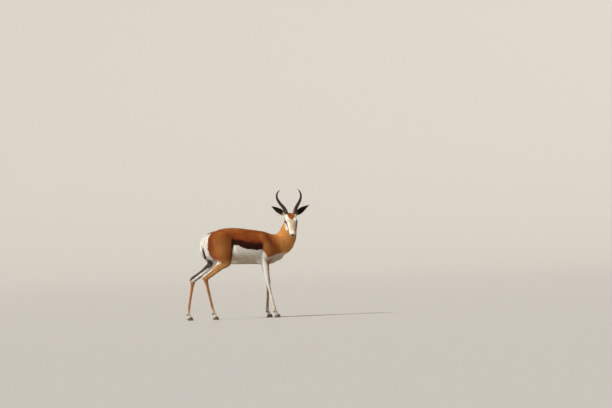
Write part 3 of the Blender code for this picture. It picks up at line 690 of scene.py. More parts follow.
def new_object(name, mesh):
    made = bpy.data.objects.new(name, mesh)
    bpy.context.scene.collection.objects.link(made)
    return made


def from_bmesh(name, bm):
    bmesh.ops.recalc_face_normals(bm, faces=bm.faces)
    mesh = bpy.data.meshes.new(name)
    bm.to_mesh(mesh)
    bm.free()
    return new_object(name, mesh)


def bake_modifiers(piece):
    """Puts the evaluated mesh in place of the piece's modifiers."""
    depsgraph = bpy.context.evaluated_depsgraph_get()
    mesh = bpy.data.meshes.new_from_object(piece.evaluated_get(depsgraph))
    piece.modifiers.clear()
    piece.data = mesh


def add_tail(bm):
    rows = smooth_curve(TAIL, TUBE_STEPS)
    radius = rows[:, 3]
    sizes = np.column_stack([radius, radius, radius * TAIL_FLATNESS, 0 * radius])
    ahead = np.gradient(rows[:, :3], axis=0)
    facing = np.column_stack([ahead[:, 2], 0 * radius, -ahead[:, 0]])
    tube(bm, rows[:, :3], facing, sizes)


def smoothstep(low, high, value):
    part = np.clip((value - low) / (high - low), 0.0, 1.0)
    return part * part * (3 - 2 * part)


def bell(value, width):
    return np.exp(-((value / width) ** 2))


def soft_spot(x, z, spot):
    return bell(x - spot[0], spot[1]) * bell(z - spot[2], spot[3])


def mix(base, colour, share):
    return base + (np.asarray(colour) - base) * np.asarray(share)[:, None]


def all_over(colour, points):
    return np.tile(colour, (len(points), 1))


def mottle(points, size, seed):
    """Smooth irregular value, mostly between -1 and 1, that changes over the given size."""
    rng = np.random.default_rng(seed)
    waves = rng.normal(size=(10, 3)) / size
    turns = rng.uniform(0, 2 * math.pi, 10)
    return np.sin(points @ waves.T + turns).sum(axis=1) / 3.2


def along_rows(rows, column, value):
    rows = np.asarray(rows)
    return np.interp(value, rows[:, 0], rows[:, column])


def head_place(points):
    """Distance from the poll, side and rise of each point, in the units of the HEAD rows."""
    axes = np.array([np.array(axis) for axis in head_axes()])
    return (points - np.array(EYE_CENTRE)) @ axes.T / HEAD_SCALE + (EYE_ALONG, 0.0, EYE_RISE)


def face_share(points):
    """1 on the head, and 0 behind a line from the ears to the throat."""
    along, _, rise = head_place(points).T
    distance = np.linalg.norm(points - np.array(on_head(*HEAD_MIDDLE)), axis=1)
    behind = along - 0.020 - 0.9 * (0.010 - rise)
    under = rise + along_rows(HEAD, 2, along)
    near = smoothstep(0.175, 0.155, distance)
    return near * smoothstep(-0.010, 0.010, behind) * smoothstep(-0.014, -0.003, under)


def eye_frame(side):
    """An eye's middle and its outward, backward and upward directions."""
    muzzle, left, face = (np.array(axis) for axis in head_axes())
    centre = np.array(on_head(EYE_ALONG, side * EYE_SIDE, EYE_RISE))
    outward = unit(EYE_AXIS[0] * muzzle + side * EYE_AXIS[1] * left + EYE_AXIS[2] * face)
    slope = math.radians(LID_SLOPE)
    back = -math.cos(slope) * muzzle + math.sin(slope) * face
    back = unit(back - outward * (back @ outward))
    up = np.cross(outward, back) * -side
    return centre, outward, back, up


def lid_place(points, side):
    """How far out of the eye's opening each point lies, 1 being the lids' edge, and its distance."""
    centre, outward, back, up = eye_frame(side)
    offset = points - centre
    distance = np.linalg.norm(offset, axis=1)
    ahead = offset @ outward
    along = np.arctan2(offset @ back, ahead) * EYE_RADIUS
    rise = np.arctan2(offset @ up, ahead) * EYE_RADIUS
    tall = np.where(rise > 0, LID_ABOVE, LID_BELOW)
    reach = np.abs(along / LID_LONG) ** LID_POWER + np.abs(rise / tall) ** LID_POWER
    opening = reach ** (1 / LID_POWER)
    opening[(ahead < 0.002) | (distance > 2.6 * EYE_RADIUS)] = 9.0
    return opening, distance, rise


def leg_place(points, side, joints, sections):
    """Place along a leg, how far forwards and outwards a point lies, and its share in the leg."""
    path, sizes = leg_rows(joints, sections)
    steep = np.abs(unit(np.gradient(path, axis=0))[:, 2])
    depth = sizes[:, :2].mean(axis=1) / steep
    marks = np.minimum(smooth_curve(sections, TUBE_STEPS)[:, 0], len(joints) - 1)
    order = np.argsort(path[:, 2])

    def at_height(values):
        return np.interp(points[:, 2], path[order, 2], values[order])

    place = at_height(marks)
    forwards = (points[:, 0] - at_height(path[:, 0])) / at_height(depth)
    outwards = side * (points[:, 1] - at_height(path[:, 1])) / at_height(sizes[:, 2])
    share = smoothstep(2.3, 1.5, np.hypot(forwards, outwards)) * smoothstep(0.56, 0.50, points[:, 2])
    return place, forwards, outwards, share


def ear_root(side):
    return np.array(on_head(EAR_ROOT[0], side * EAR_ROOT[1], EAR_ROOT[2]))


def ear_grid(side, steps, across, thick):
    """Rows of points on the inner and outer face of an ear, with their place along and across."""
    root = ear_root(side)
    spine = np.array(sideways_up_back(EAR_TIPS[LABELS[side]], side))
    along = unit(spine)
    ahead = np.array(sideways_up_back((0.25, 0.0, -1.0), side))
    ahead = unit(ahead - along * (ahead @ along))
    sideways = np.cross(along, ahead) * side
    u, v = np.meshgrid(np.linspace(0, 1, steps + 1), np.linspace(-1, 1, across + 1), indexing="ij")
    leaf_half = EAR_WIDTH / 2 * np.sin(math.pi * u**0.85).clip(0) ** 0.9
    leaf_half = leaf_half + EAR_ROOT_WIDTH / 2 * (1 - u) ** 3 + 0.0006
    leaf_half = leaf_half * (EAR_STALK[0] + (1 - EAR_STALK[0]) * smoothstep(0, EAR_STALK[1], u))
    arc = (EAR_CUP + EAR_ROLL * (1 - u) ** 3) * math.pi / 2
    radius = leaf_half / arc
    wall = thick / 2 * (0.35 + 0.65 * (1 - v**4)) * (1 - 0.55 * u**3)
    faces = []
    for sign in (-1, 1):
        reach = radius + sign * wall
        forward = radius - reach * np.cos(v * arc) - EAR_DEPTH * radius - EAR_TIP_BACK * u**2
        across_part = reach * np.sin(v * arc)
        spots = root + u[..., None] * spine + across_part[..., None] * sideways
        faces.append(spots + forward[..., None] * ahead)
    return faces, u, v


def ear_mesh(side):
    """A closed thin leaf: the inner and the outer face, joined round their rim."""
    (inner, outer), _, _ = ear_grid(side, EAR_FINE_STEPS, EAR_FINE_ACROSS, EAR_FINE_THICK)
    bm = bmesh.new()
    sheets = [[[bm.verts.new(p) for p in row] for row in face] for face in (inner, outer)]
    for sheet in sheets:
        for low, high in zip(sheet, sheet[1:]):
            for k in range(len(low) - 1):
                bm.faces.new((low[k], low[k + 1], high[k + 1], high[k]))
    rims = []
    for sheet in sheets:
        ends = [row[-1] for row in sheet[1:]] + list(reversed(sheet[-1][:-1]))
        rims.append(list(sheet[0]) + ends + [row[0] for row in reversed(sheet[1:-1])])
    for i in range(len(rims[0])):
        j = (i + 1) % len(rims[0])
        bm.faces.new((rims[0][i], rims[0][j], rims[1][j], rims[1][i]))
    return from_bmesh(f"ear_{LABELS[side]}", bm)


def nearest(points, places):
    """Number of the nearest place and the distance to it, for each point."""
    tree = KDTree(len(places))
    for number, place in enumerate(places):
        tree.insert(place, number)
    tree.balance()
    found = np.array([tree.find(point)[1:] for point in points])
    return found[:, 0].astype(int), found[:, 1]


def ear_samples():
    """Points all over both ears with their place along and across, and 1 on the inner face."""
    samples = []
    for side in (-1, 1):
        faces, u, v = ear_grid(side, EAR_FINE_STEPS, EAR_FINE_ACROSS, EAR_FINE_THICK)
        for inner, spots in zip((1.0, 0.0), faces):
            flags = np.full(u.size, inner)
            samples.append(np.column_stack([spots.reshape(-1, 3), u.ravel(), v.ravel(), flags]))
    return np.vstack(samples)


def ear_place(points):
    """Share in an ear, place along and across it, and 1 on its inner face, for each point."""
    result = np.zeros((len(points), 4))
    middle = np.array(on_head(EAR_ROOT[0], 0.0, EAR_ROOT[2]))
    near = np.flatnonzero(np.linalg.norm(points - middle, axis=1) < EAR_REACH)
    if len(near):
        samples = ear_samples()
        best, gap = nearest(points[near], samples[:, :3])
        result[near, 0] = smoothstep(0.006, 0.003, gap)
        result[near, 1:] = samples[best, 3:]
    return result.T


def coat_depth(points):
    """Depth of the coat over the skin: thin on the face, the ears and the legs."""
    depth = LEG_COAT + (TRUNK_COAT - LEG_COAT) * smoothstep(0.36, 0.56, points[:, 2])
    tail_share = tail_place(points)[1]
    depth = depth + (TAIL_COAT - depth) * tail_share
    return depth + (FACE_COAT - depth) * face_share(points)


def tail_place(points):
    """Place along the tail from 0 to 1, and the share in it."""
    rows = smooth_curve(TAIL, TUBE_STEPS)
    place, share = np.zeros(len(points)), np.zeros(len(points))
    near = np.flatnonzero((points[:, 0] < -0.20) & (np.abs(points[:, 1]) < 0.08))
    if len(near):
        best, gap = nearest(points[near], rows[:, :3])
        place[near] = best / (len(rows) - 1)
        share[near] = smoothstep(1.35, 1.05, gap / (rows[best, 3] * TAIL_FLATNESS + 0.004))
    return place, share


def rear_distance(points):
    """How far in front of the edge of the rump's white each point lies."""
    seen = REAR_VIEW[0] * points[:, 0] + REAR_VIEW[1] * np.abs(points[:, 1])
    return seen - along_rows(RUMP_EDGE, 1, points[:, 2])


def body_colour(points, facing):
    """Cinnamon back, chestnut flank band, white belly and rump, and golden neck, with a painted highlight
    along the top of the back and painted shade in the shoulder crease, before the thigh and under the
    belly.
    """
    x, y, z = points.T
    away = np.abs(y)
    wander = 0.0022 * mottle(points, 0.014, 1) + 0.0016 * mottle(points, 0.005, 2)
    colour = all_over(CINNAMON, points)
    colour = mix(colour, RED_BROWN, 0.22 + 0.22 * mottle(points, 0.030, 3))
    haunch = soft_spot(x, z, HAUNCH) * smoothstep(0.05, 0.09, away)
    colour = mix(colour, LIGHT_TAN, 0.75 * haunch)
    shoulder = soft_spot(x, z, SHOULDER) * smoothstep(0.04, 0.08, away)
    colour = mix(colour, LIGHT_TAN, 0.62 * shoulder)
    # painted highlight: a lighter tan strip along the top of the back
    colour = mix(colour, LIGHT_TAN, 0.30 * bell(z - 0.815, 0.018) * smoothstep(-0.14, -0.02, x))
    saddle = soft_spot(x, z, SADDLE) + soft_spot(x, z, WITHERS_SIDE)
    colour = mix(colour, RED_BROWN, 0.55 * np.minimum(saddle, 1.0))
    neck = smoothstep(0.355, 0.445, x + 0.25 * (z - 0.70))
    colour = mix(colour, GOLD, 0.92 * neck)
    # painted shade: a darker red-brown line down the crease in front of the shoulder blade
    painted_crease_shade = bell(x - 0.362 - 0.62 * (0.70 - z), 0.014) * smoothstep(0.80, 0.74, z)
    colour = mix(colour, RED_BROWN, 0.55 * painted_crease_shade * smoothstep(0.03, 0.06, away))

    low, top = along_rows(BELLY_EDGE, 1, x), along_rows(BAND_TOP, 1, x)
    ends = smoothstep(-0.062, -0.030, x) * smoothstep(0.268, 0.236, x)
    band = ends * smoothstep(low - 0.003, low + 0.003, z + wander)
    band = band * smoothstep(top + 0.006, top - 0.022, z + 1.5 * wander)
    colour = mix(colour, RED_BROWN, 0.9 * bell(z - top, 0.022) * ends)
    colour = mix(colour, CHOCOLATE, band)
    front = x - along_rows(THIGH_FRONT, 1, z)
    # painted shade: a dark chocolate strip down the hollow in front of the thigh
    thigh_front_shade = bell(front + 0.012, 0.015) * smoothstep(0.470, 0.540, z)
    thigh_front_shade = thigh_front_shade * smoothstep(0.755, 0.700, z)
    colour = mix(colour, CHOCOLATE, 0.85 * thigh_front_shade * smoothstep(0.05, 0.08, away))

    belly = smoothstep(low + 0.002, low - 0.003, z + wander)
    belly = belly * smoothstep(-0.010, 0.002, front + wander)
    inner = smoothstep(-0.10, -0.30, np.sign(y) * facing[:, 1]) * smoothstep(0.66, 0.62, z)
    belly = np.maximum(belly, inner * smoothstep(0.42, 0.38, x))
    belly = belly * (1 - BRISKET_TAN * smoothstep(0.31, 0.37, x))
    rear = rear_distance(points) + wander
    above_legs = np.maximum(smoothstep(0.500, 0.540, z), smoothstep(0.070, 0.045, away))
    rump = smoothstep(0.003, -0.003, rear) * above_legs * smoothstep(0.0, -0.05, x)
    crotch = smoothstep(0.066, 0.046, away) * smoothstep(0.570, 0.535, z) * smoothstep(0.10, 0.0, x)
    rump = np.maximum(rump, crotch)
    crest = bell(away, CREST_WIDTH) * smoothstep(0.02, -0.02, x) * smoothstep(0.70, 0.74, z)
    rim = 0.85 * bell(rear - 0.012, 0.014) * smoothstep(0.58, 0.64, z) * smoothstep(0.02, -0.06, x)
    colour = mix(colour, RED_BROWN, rim)
    white = np.maximum(np.maximum(belly, rump), 0.75 * crest)
    # painted shade: where the belly faces the floor its white is darkened to a warm cream
    below = smoothstep(0.15, -0.55, facing[:, 2])
    pale = mix(all_over(WHITE, points), BELLY_SHADE, belly * below)
    return mix(colour, 1.0, white) + (pale - 1.0) * white[:, None]


def add_groin_shade(colour, points, facing):
    """Painted shade, near-black, high on the inside of the hind legs where they meet."""
    x, y, z = points.T
    inner = smoothstep(-0.20, -0.50, np.sign(y) * facing[:, 1]) * (np.abs(y) < 0.10)
    dark = soft_spot(x, z, GROIN_SHADE)
    return mix(colour, INNER_SHADE, smoothstep(0.25, 0.60, dark) * inner * 0.9)


def add_leg_colour(colour, points):
    """Tan fronts and outsides, white backs and insides, and pale pasterns, with painted shade that
    darkens the edges of the hind shanks' insides and makes the forelegs' insides tan below the knee.
    """
    for index, (side, joints, sections) in enumerate(LEGS):
        place, forwards, outwards, share = leg_place(points, side, joints, sections)
        wander = 0.05 * mottle(points, 0.010, 4 + index)
        inside = smoothstep(-0.10, -0.35, outwards + wander)
        if index < 2:
            edge = np.interp(place, (0.9, 1.0, 1.3, 1.6, 2.9), (-0.6, -0.3, 0.30, 0.42, 0.35))
            brown = smoothstep(edge - 0.12, edge + 0.12, forwards + wander)
            # painted shade: below the knee the inside of the foreleg is made tan
            lower = smoothstep(1.75, 2.05, place)
            brown = np.maximum(brown, inside * lower * smoothstep(-0.75, -0.5, forwards))
            tone = all_over(LEG_TAN, points)
            tone = mix(tone, RED_BROWN, 0.55 * smoothstep(1.5, 1.0, place))
        else:
            outer = smoothstep(-0.98, -0.74, forwards + wander)
            shank = smoothstep(1.00, 1.15, place) * smoothstep(2.06, 1.96, place)
            # painted shade: the inner shank is darkened along its front and back, leaving a white strip
            # down its middle
            stripe = shank * smoothstep(0.26, 0.42, np.abs(forwards + 0.10 + wander))
            lower = smoothstep(1.98, 2.06, place) * smoothstep(-1.00, -0.80, forwards)
            brown = outer * (1 - inside) + inside * np.maximum(0.9 * stripe, lower)
            tone = mix(all_over(LIGHT_TAN, points), SHANK_TAN, smoothstep(0.8, 1.2, place))
            tone = mix(tone, LEG_TAN, smoothstep(1.7, 2.2, place))
            # painted shade: the dark of the inner shank is near-black
            tone = mix(tone, INNER_SHADE, 0.97 * inside * shank)
        brown = brown * smoothstep(3.05, 2.80, place)
        leg = mix(all_over(CREAM, points), WHITE, smoothstep(3.0, 2.6, place))
        leg = mix(leg, tone, brown)
        leg = mix(leg, STRIPE_BROWN, 0.5 * smoothstep(3.92, 4.0, place))
        colour = mix(colour, leg, share)
    return colour


def stripe_distance(along, away, rise):
    """Distance from the stripe between the eye and the corner of the mouth."""
    spots = np.column_stack([along, away, rise])
    best = np.full(len(spots), 9.0)
    for start, end in zip(np.array(STRIPE), np.array(STRIPE[1:])):
        step = end - start
        part = np.clip((spots - start) @ step / (step @ step), 0, 1)
        best = np.minimum(best, np.linalg.norm(spots - start - part[:, None] * step, axis=1))
    return best


def add_head_colour(colour, points):
    """White face with a brown forehead, a dark stripe to the mouth, dark nose, lids and lips."""
    along, side, rise = head_place(points).T
    away = np.abs(side)
    wander = 0.003 * mottle(points, 0.008, 21)
    face = mix(all_over(WHITE, points), CREAM, 0.25 + 0.25 * mottle(points, 0.02, 22))
    # the blaze down the face is a warm cream, deepened with painted shade
    blaze = smoothstep(0.026, 0.015, away) * smoothstep(0.080, 0.100, along)
    face = mix(face, BLAZE_CREAM_AND_SHADE, 0.8 * blaze * smoothstep(0.225, 0.190, along))
    patch = smoothstep(0.101, 0.086, along + FOREHEAD_ROUND * away**2 + wander)
    patch = patch * smoothstep(0.034, 0.027, away + wander) * smoothstep(0.010, 0.022, rise)
    face = mix(face, FACE_BROWN, patch)
    face = mix(face, RED_BROWN, 0.6 * patch * smoothstep(0.060, 0.035, along))
    near = stripe_distance(along, away, rise)
    wide = np.interp(along, STRIPE_PLACES, STRIPE_WIDTHS)
    face = mix(face, STRIPE_BROWN, 0.94 * smoothstep(wide + 0.0016, wide - 0.0010, near + wander * 0.4))
    edge = points - 0.006 * mottle(points, 0.016, 24)[:, None] * np.array(head_axes()[0])
    before = along - CHEEK_EDGE[0] - CHEEK_EDGE[1] * (0.020 - rise) + wander
    cheek = smoothstep(-0.006, 0.006, before)
    colour = mix(colour, face, face_share(edge) * cheek)
    for sign in (-1, 1):
        opening, distance, _ = lid_place(points, sign)
        surround = smoothstep(EYE_RING[1], EYE_RING[0], opening) * (distance < 2.4 * EYE_RADIUS)
        colour = mix(colour, STRIPE_BROWN, 0.9 * surround)
        rim = smoothstep(1.75, 1.25, opening) * (distance < 1.5 * EYE_RADIUS)
        colour = mix(colour, BLACK_SKIN, rim)
    colour = mix(colour, BLACK_SKIN, nose_share(points))
    return mix(colour, BLACK_SKIN, mouth_share(points) * 0.9)


def nose_share(points):
    """1 on the bare skin of the nose and round the nostrils."""
    along, side, rise = head_place(points).T
    start, middle, reach, breadth = NOSE_PAD
    distance = np.sqrt((along - start) ** 2 + (side / breadth) ** 2 + (rise - middle) ** 2)
    pad = smoothstep(reach + 0.0015, reach - 0.0015, distance)
    nostril = smoothstep(*NOSTRIL_DARK, nostril_depth(points)[0])
    return np.maximum(pad, nostril) * face_share(points)


def nostril_depth(points):
    """Shape of the nostrils from 0 outside to 1 at their deepest, and the raised rim round them."""
    place = head_place(points)
    place[:, 1] = np.abs(place[:, 1])
    line, out = unit(np.array(NOSTRIL_LINE)), np.array(NOSTRIL_OUT)
    out = unit(out - line * (out @ line))
    offset = place - np.array(NOSTRIL)
    part, depth = offset @ line, offset @ out
    across = np.linalg.norm(offset - part[:, None] * line - depth[:, None] * out, axis=1)
    near = smoothstep(-0.013, -0.010, depth) * smoothstep(0.008, 0.005, depth)
    hole = bell(part, NOSTRIL_SIZE[0]) * bell(across + 0.12 * np.abs(part), NOSTRIL_SIZE[1])
    rim = bell(part, NOSTRIL_SIZE[0] * 1.3) * bell(across - NOSTRIL_SIZE[2], NOSTRIL_SIZE[1])
    return hole * near, rim * near


def mouth_share(points):
    """1 along the line between the lips."""
    along, _, rise = head_place(points).T
    line = np.interp(along, MOUTH, MOUTH_RISE)
    ends = smoothstep(MOUTH[0] - 0.004, MOUTH[0] + 0.006, along)
    return bell(rise - line, MOUTH_SIZE[0]) * ends * face_share(points)


def add_ear_colour(colour, points):
    """Inside painted near-black as shade, with pale rims and a pale tuft at the root; tan and grey
    outside.
    """
    share, u, v, inner = ear_place(points)
    # painted shade: the inner face of the ear is painted near-black
    inside = all_over(EAR_INSIDE_SHADE, points)
    rim = np.maximum(smoothstep(0.74, 0.94, np.abs(v)), smoothstep(0.30, 0.10, u) * 0.8)
    inside = mix(inside, CREAM, rim)
    outside = all_over(EAR_OUTSIDE, points)
    outside = mix(outside, CREAM, smoothstep(0.70, 0.95, np.abs(v)))
    outside = mix(outside, STRIPE_BROWN, 0.6 * smoothstep(0.86, 0.98, u))
    ear = inside * inner[:, None] + outside * (1 - inner[:, None])
    return mix(colour, ear, share * smoothstep(0.03, 0.12, u))


def coat_colour(points, facing):
    """Colour of the skin and of the hair that is rooted there, from place and facing alone."""
    colour = body_colour(points, facing)
    colour = add_leg_colour(colour, points)
    colour = add_groin_shade(colour, points, facing)
    place, share = tail_place(points)
    tail_tone = mix(all_over(WHITE, points), TAIL_TIP, smoothstep(0.50, 0.66, place))
    colour = mix(colour, tail_tone, share * (points[:, 2] < 0.76))
    colour = add_head_colour(colour, points)
    return add_ear_colour(colour, points)


def places_of(mesh):
    values = np.empty(len(mesh.vertices) * 3, np.float32)
    mesh.vertices.foreach_get("co", values)
    return values.reshape(-1, 3).astype(float)


def normals_of(mesh):
    values = np.empty(len(mesh.vertices) * 3, np.float32)
    mesh.vertex_normals.foreach_get("vector", values)
    return values.reshape(-1, 3).astype(float)


def put_places(mesh, places):
    mesh.vertices.foreach_set("co", places.astype(np.float32).ravel())
    mesh.update()


def triangles_of(mesh):
    mesh.calc_loop_triangles()
    values = np.empty(len(mesh.loop_triangles) * 3, np.int32)
    mesh.loop_triangles.foreach_get("vertices", values)
    return values.reshape(-1, 3)


def refine(mesh, chosen):
    """Halves the edges that join chosen vertices."""
    bm = bmesh.new()
    bm.from_mesh(mesh)
    edges = [edge for edge in bm.edges if all(chosen[vertex.index] for vertex in edge.verts)]
    bmesh.ops.subdivide_edges(bm, edges=edges, cuts=1, use_grid_fill=True)
    wide = [face for face in bm.faces if len(face.verts) > 4]
    bmesh.ops.triangulate(bm, faces=wide)
    bm.to_mesh(mesh)
    bm.free()


def relax(mesh, share, rounds):
    """Evens out the surface by each vertex's share, from 0 to 1."""
    places = places_of(mesh)
    count = len(places)
    ends = np.empty(len(mesh.edges) * 2, np.int32)
    mesh.edges.foreach_get("vertices", ends)
    first, second = ends.reshape(-1, 2).T
    joined = np.bincount(first, minlength=count) + np.bincount(second, minlength=count)
    for _ in range(rounds):
        total = np.column_stack([
            np.bincount(first, places[second, axis], count)
            + np.bincount(second, places[first, axis], count)
            for axis in range(3)
        ])
        places += 0.5 * share[:, None] * (total / joined[:, None] - places)
    put_places(mesh, places)


def joined_flesh():
    """The same flesh as the model's own, with the tail joined on."""
    bm = bmesh.new()
    add_trunk(bm)
    add_neck(bm)
    add_head(bm)
    add_muscles(bm)
    for _, joints, sections in LEGS:
        add_leg(bm, joints, sections)
    add_tail(bm)
    flesh = from_bmesh("skin", bm)
    remesh = flesh.modifiers.new("join", "REMESH")
    remesh.mode = "VOXEL"
    remesh.voxel_size = VOXEL
    bake_modifiers(flesh)

    places = places_of(flesh.data)
    amount = np.array([softness(place) for place in places])
    amount = np.minimum(amount, 1.0 - 0.92 * tail_place(places)[1])
    soft = flesh.vertex_groups.new(name="soft")
    for index, value in enumerate(amount):
        soft.add([index], value, "REPLACE")
    smooth = flesh.modifiers.new("smooth", "SMOOTH")
    smooth.factor = 0.5
    smooth.iterations = SMOOTHING
    smooth.vertex_group = soft.name
    bake_modifiers(flesh)
    flesh.vertex_groups.clear()
    return flesh


def body_height(places):
    """How far muscles, ribs, tendons and hollows stand out of the plain body."""
    x, y, z = places.T
    away = np.abs(y)
    height = np.zeros(len(places))
    for ahead, side, up, long, wide, tall, turn, size in BODY_FORMS:
        cos, sin = math.cos(math.radians(turn)), math.sin(math.radians(turn))
        forwards = (x - ahead) * cos - (z - up) * sin
        upwards = (x - ahead) * sin + (z - up) * cos
        form = bell(forwards, long) * bell(away - side, wide) * bell(upwards, tall)
        height += FORMS_STAND * size * form
    start, end, step = RIBS
    inside = smoothstep(start, start + 0.03, x) * smoothstep(end, end - 0.03, x)
    inside = inside * smoothstep(RIB_SPAN[0], RIB_SPAN[0] + 0.05, z)
    inside = inside * smoothstep(RIB_SPAN[1], RIB_SPAN[1] - 0.05, z) * smoothstep(0.05, 0.08, away)
    height += RIB_HEIGHT * inside * np.cos(2 * math.pi * (x - 0.30 * (0.65 - z)) / step)
    groove = smoothstep(-0.21, -0.18, x) * smoothstep(0.02, -0.02, x) * smoothstep(0.72, 0.76, z)
    height -= SPINE_GROOVE[1] * groove * bell(away, SPINE_GROOVE[0])
    for index, (side, joints, sections) in enumerate(LEGS):
        place, forwards, outwards, share = leg_place(places, side, joints, sections)
        angle = np.degrees(np.arctan2(np.abs(outwards), forwards))
        cannon = smoothstep(2.12, 2.30, place) * smoothstep(2.92, 2.75, place)
        height -= TENDON_GROOVE * share * cannon * bell(angle - 112, 14)
        if index > 1:
            gaskin = smoothstep(1.25, 1.55, place) * smoothstep(2.0, 1.85, place)
            height -= ACHILLES_HOLLOW * share * gaskin * bell(angle - 122, 20)
    return height * (1 - face_share(places))


def head_height(places):
    """Brows, cheeks, jaws and hollows of the face."""
    along, side, rise = head_place(places).T
    away = np.abs(side)
    height = np.zeros(len(places))
    for ahead, out, up, long, wide, tall, size in HEAD_FORMS:
        height += size * bell(along - ahead, long) * bell(away - out, wide) * bell(rise - up, tall)
    hole, rim = nostril_depth(places)
    height += NOSTRIL_RIM * rim - NOSTRIL_DEPTH * hole
    height -= MOUTH_SIZE[1] * mouth_share(places)
    height -= PHILTRUM[1] * nose_share(places) * bell(side, PHILTRUM[0])
    return height * face_share(places)


def shape_lids(places):
    """Lays the lids on the eyeballs, with an opening between them and a fold above."""
    for side in (-1, 1):
        centre, outward, _, _ = eye_frame(side)
        opening, distance, rise = lid_place(places, side)
        near = np.flatnonzero(opening < 5.0)
        out = unit(places[near] - centre)
        ratio, old = opening[near], distance[near]
        angle = np.degrees(np.arccos(np.clip(out @ outward, -1, 1)))
        sunk, rim = EYE_RADIUS - LID_SUNK, EYE_RADIUS + LID_STANDS
        new = old + (rim - old) * smoothstep(*LID_REACH, angle)
        new = sunk + (new - sunk) * smoothstep(0.86, 1.02, ratio)
        above = smoothstep(0.0, 0.004, rise[near])
        new = new - LID_FOLD * bell(ratio - 1.50, 0.12) * above
        new = new + 0.5 * LID_FOLD * bell(ratio - 1.25, 0.12) * (0.4 + 0.6 * above)
        places[near] = centre + out * new[:, None]
    return places


def thin_body(skin):
    """Fewer and larger faces on the body, where the surface is smooth."""
    places = places_of(skin.data)
    share = (1 - face_share(places)) * (ear_place(places)[0] < 0.5)
    group = skin.vertex_groups.new(name="thin")
    for index, value in enumerate(share):
        group.add([index], value, "REPLACE")
    thin = skin.modifiers.new("thin", "DECIMATE")
    thin.vertex_group = group.name
    thin.ratio = SKIN_TRIANGLES / len(triangles_of(skin.data))
    bake_modifiers(skin)
    skin.vertex_groups.clear()


def add_ears(skin):
    for side in (-1, 1):
        leaf = ear_mesh(side)
        union = skin.modifiers.new("ear", "BOOLEAN")
        union.operation = "UNION"
        union.solver = "EXACT"
        union.object = leaf
        bake_modifiers(skin)
        bpy.data.objects.remove(leaf)


def end_at_hooves(places):
    """Ends the legs just inside the tops of the hooves."""
    for _, joints, _ in LEGS:
        coronet = joints[-1]
        top = CORONET_HEIGHT + CORONET_SLOPE * (places[:, 0] - coronet[0]) - 0.001
        near = np.hypot(places[:, 0] - coronet[0], places[:, 1] - coronet[1]) < 0.05
        low = near & (places[:, 2] < top)
        places[low, 2] = top[low]
    return places


def make_skin():
    skin = joined_flesh()
    mesh = skin.data
    refine(mesh, face_share(places_of(mesh)) > 0.5)
    relax(mesh, face_share(places_of(mesh)), 3)
    places = places_of(mesh)
    eyes = [np.linalg.norm(places - eye_frame(side)[0], axis=1) for side in (-1, 1)]
    nose = (head_place(places)[:, 0] > FINEST_NOSE) & (face_share(places) > 0.5)
    refine(mesh, nose | (np.minimum(*eyes) < FINEST_EYE))
    relax(mesh, face_share(places_of(mesh)), 2)

    places, normals = places_of(mesh), normals_of(mesh)
    places = places - normals * coat_depth(places)[:, None]
    put_places(mesh, places)
    normals = normals_of(mesh)
    places = places + normals * (body_height(places) + head_height(places))[:, None]
    put_places(mesh, end_at_hooves(shape_lids(places)))
    add_ears(skin)
    places = places_of(skin.data)
    root = np.minimum(*[np.linalg.norm(places - ear_root(side), axis=1) for side in (-1, 1)])
    relax(skin.data, smoothstep(0.040, 0.025, root) * 0.6, 3)
    nape = np.linalg.norm(places_of(skin.data) - np.array(on_head(*NAPE)), axis=1)
    behind = head_place(places_of(skin.data))[:, 0] < 0.022
    behind = behind & (ear_place(places_of(skin.data))[0] < 0.1)
    relax(skin.data, smoothstep(*NAPE_REACH, nape) * 0.9 * behind, NAPE_ROUNDS)
    thin_body(skin)
    return skin


def lie_of_coat(points, normals):
    """Direction in which the hair at each point lies, along the surface."""
    x, y, z = points.T
    away = np.abs(y)
    down = 0.22 + 0.9 * smoothstep(-0.17, -0.25, x) + 0.9 * smoothstep(0.36, 0.42, x)
    lie = np.column_stack([-np.ones(len(points)), 0.10 * np.sign(y) * smoothstep(0.0, 0.05, away), -down])
    lie = unit(lie)

    rows = smooth_curve(NECK, TUBE_STEPS)
    path = rows[:, :3]
    best, _ = nearest(points, path)
    towards = -unit(np.gradient(path, axis=0))[best]
    lie = mix_lie(lie, towards, smoothstep(0.40, 0.48, x + 0.5 * (z - 0.70)))

    for side, joints, sections in LEGS:
        path, _ = leg_rows(joints, sections)
        share = leg_place(points, side, joints, sections)[3]
        steps = unit(np.gradient(path, axis=0))
        order = np.argsort(path[:, 2])
        towards = np.column_stack([
            np.interp(z, path[order, 2], steps[order, axis]) for axis in range(3)
        ])
        lie = mix_lie(lie, towards, share)

    rows = smooth_curve(TAIL, TUBE_STEPS)[:, :3]
    place, share = tail_place(points)
    steps = unit(np.gradient(rows, axis=0))
    number = np.round(place * (len(rows) - 1)).astype(int)
    lie = mix_lie(lie, steps[number], share)

    muzzle = np.array(head_axes()[0])
    lie = mix_lie(lie, np.tile(-muzzle, (len(points), 1)), face_share(points))
    share = ear_place(points)[0]
    for side in (-1, 1):
        root = ear_root(side)
        spine = unit(np.array(sideways_up_back(EAR_TIPS[LABELS[side]], side)))
        own = share * (((points - root) @ spine) > 0.0) * ((points - root) @ spine > -0.01)
        near = np.linalg.norm(points - root - spine * 0.08, axis=1) < 0.12
        lie = mix_lie(lie, np.tile(spine, (len(points), 1)), own * near)

    lie = lie - normals * np.sum(lie * normals, axis=1, keepdims=True)
    return unit(lie + 1e-6)


def mix_lie(lie, towards, share):
    return unit(lie + (towards - lie) * np.asarray(share)[:, None] + 1e-9)


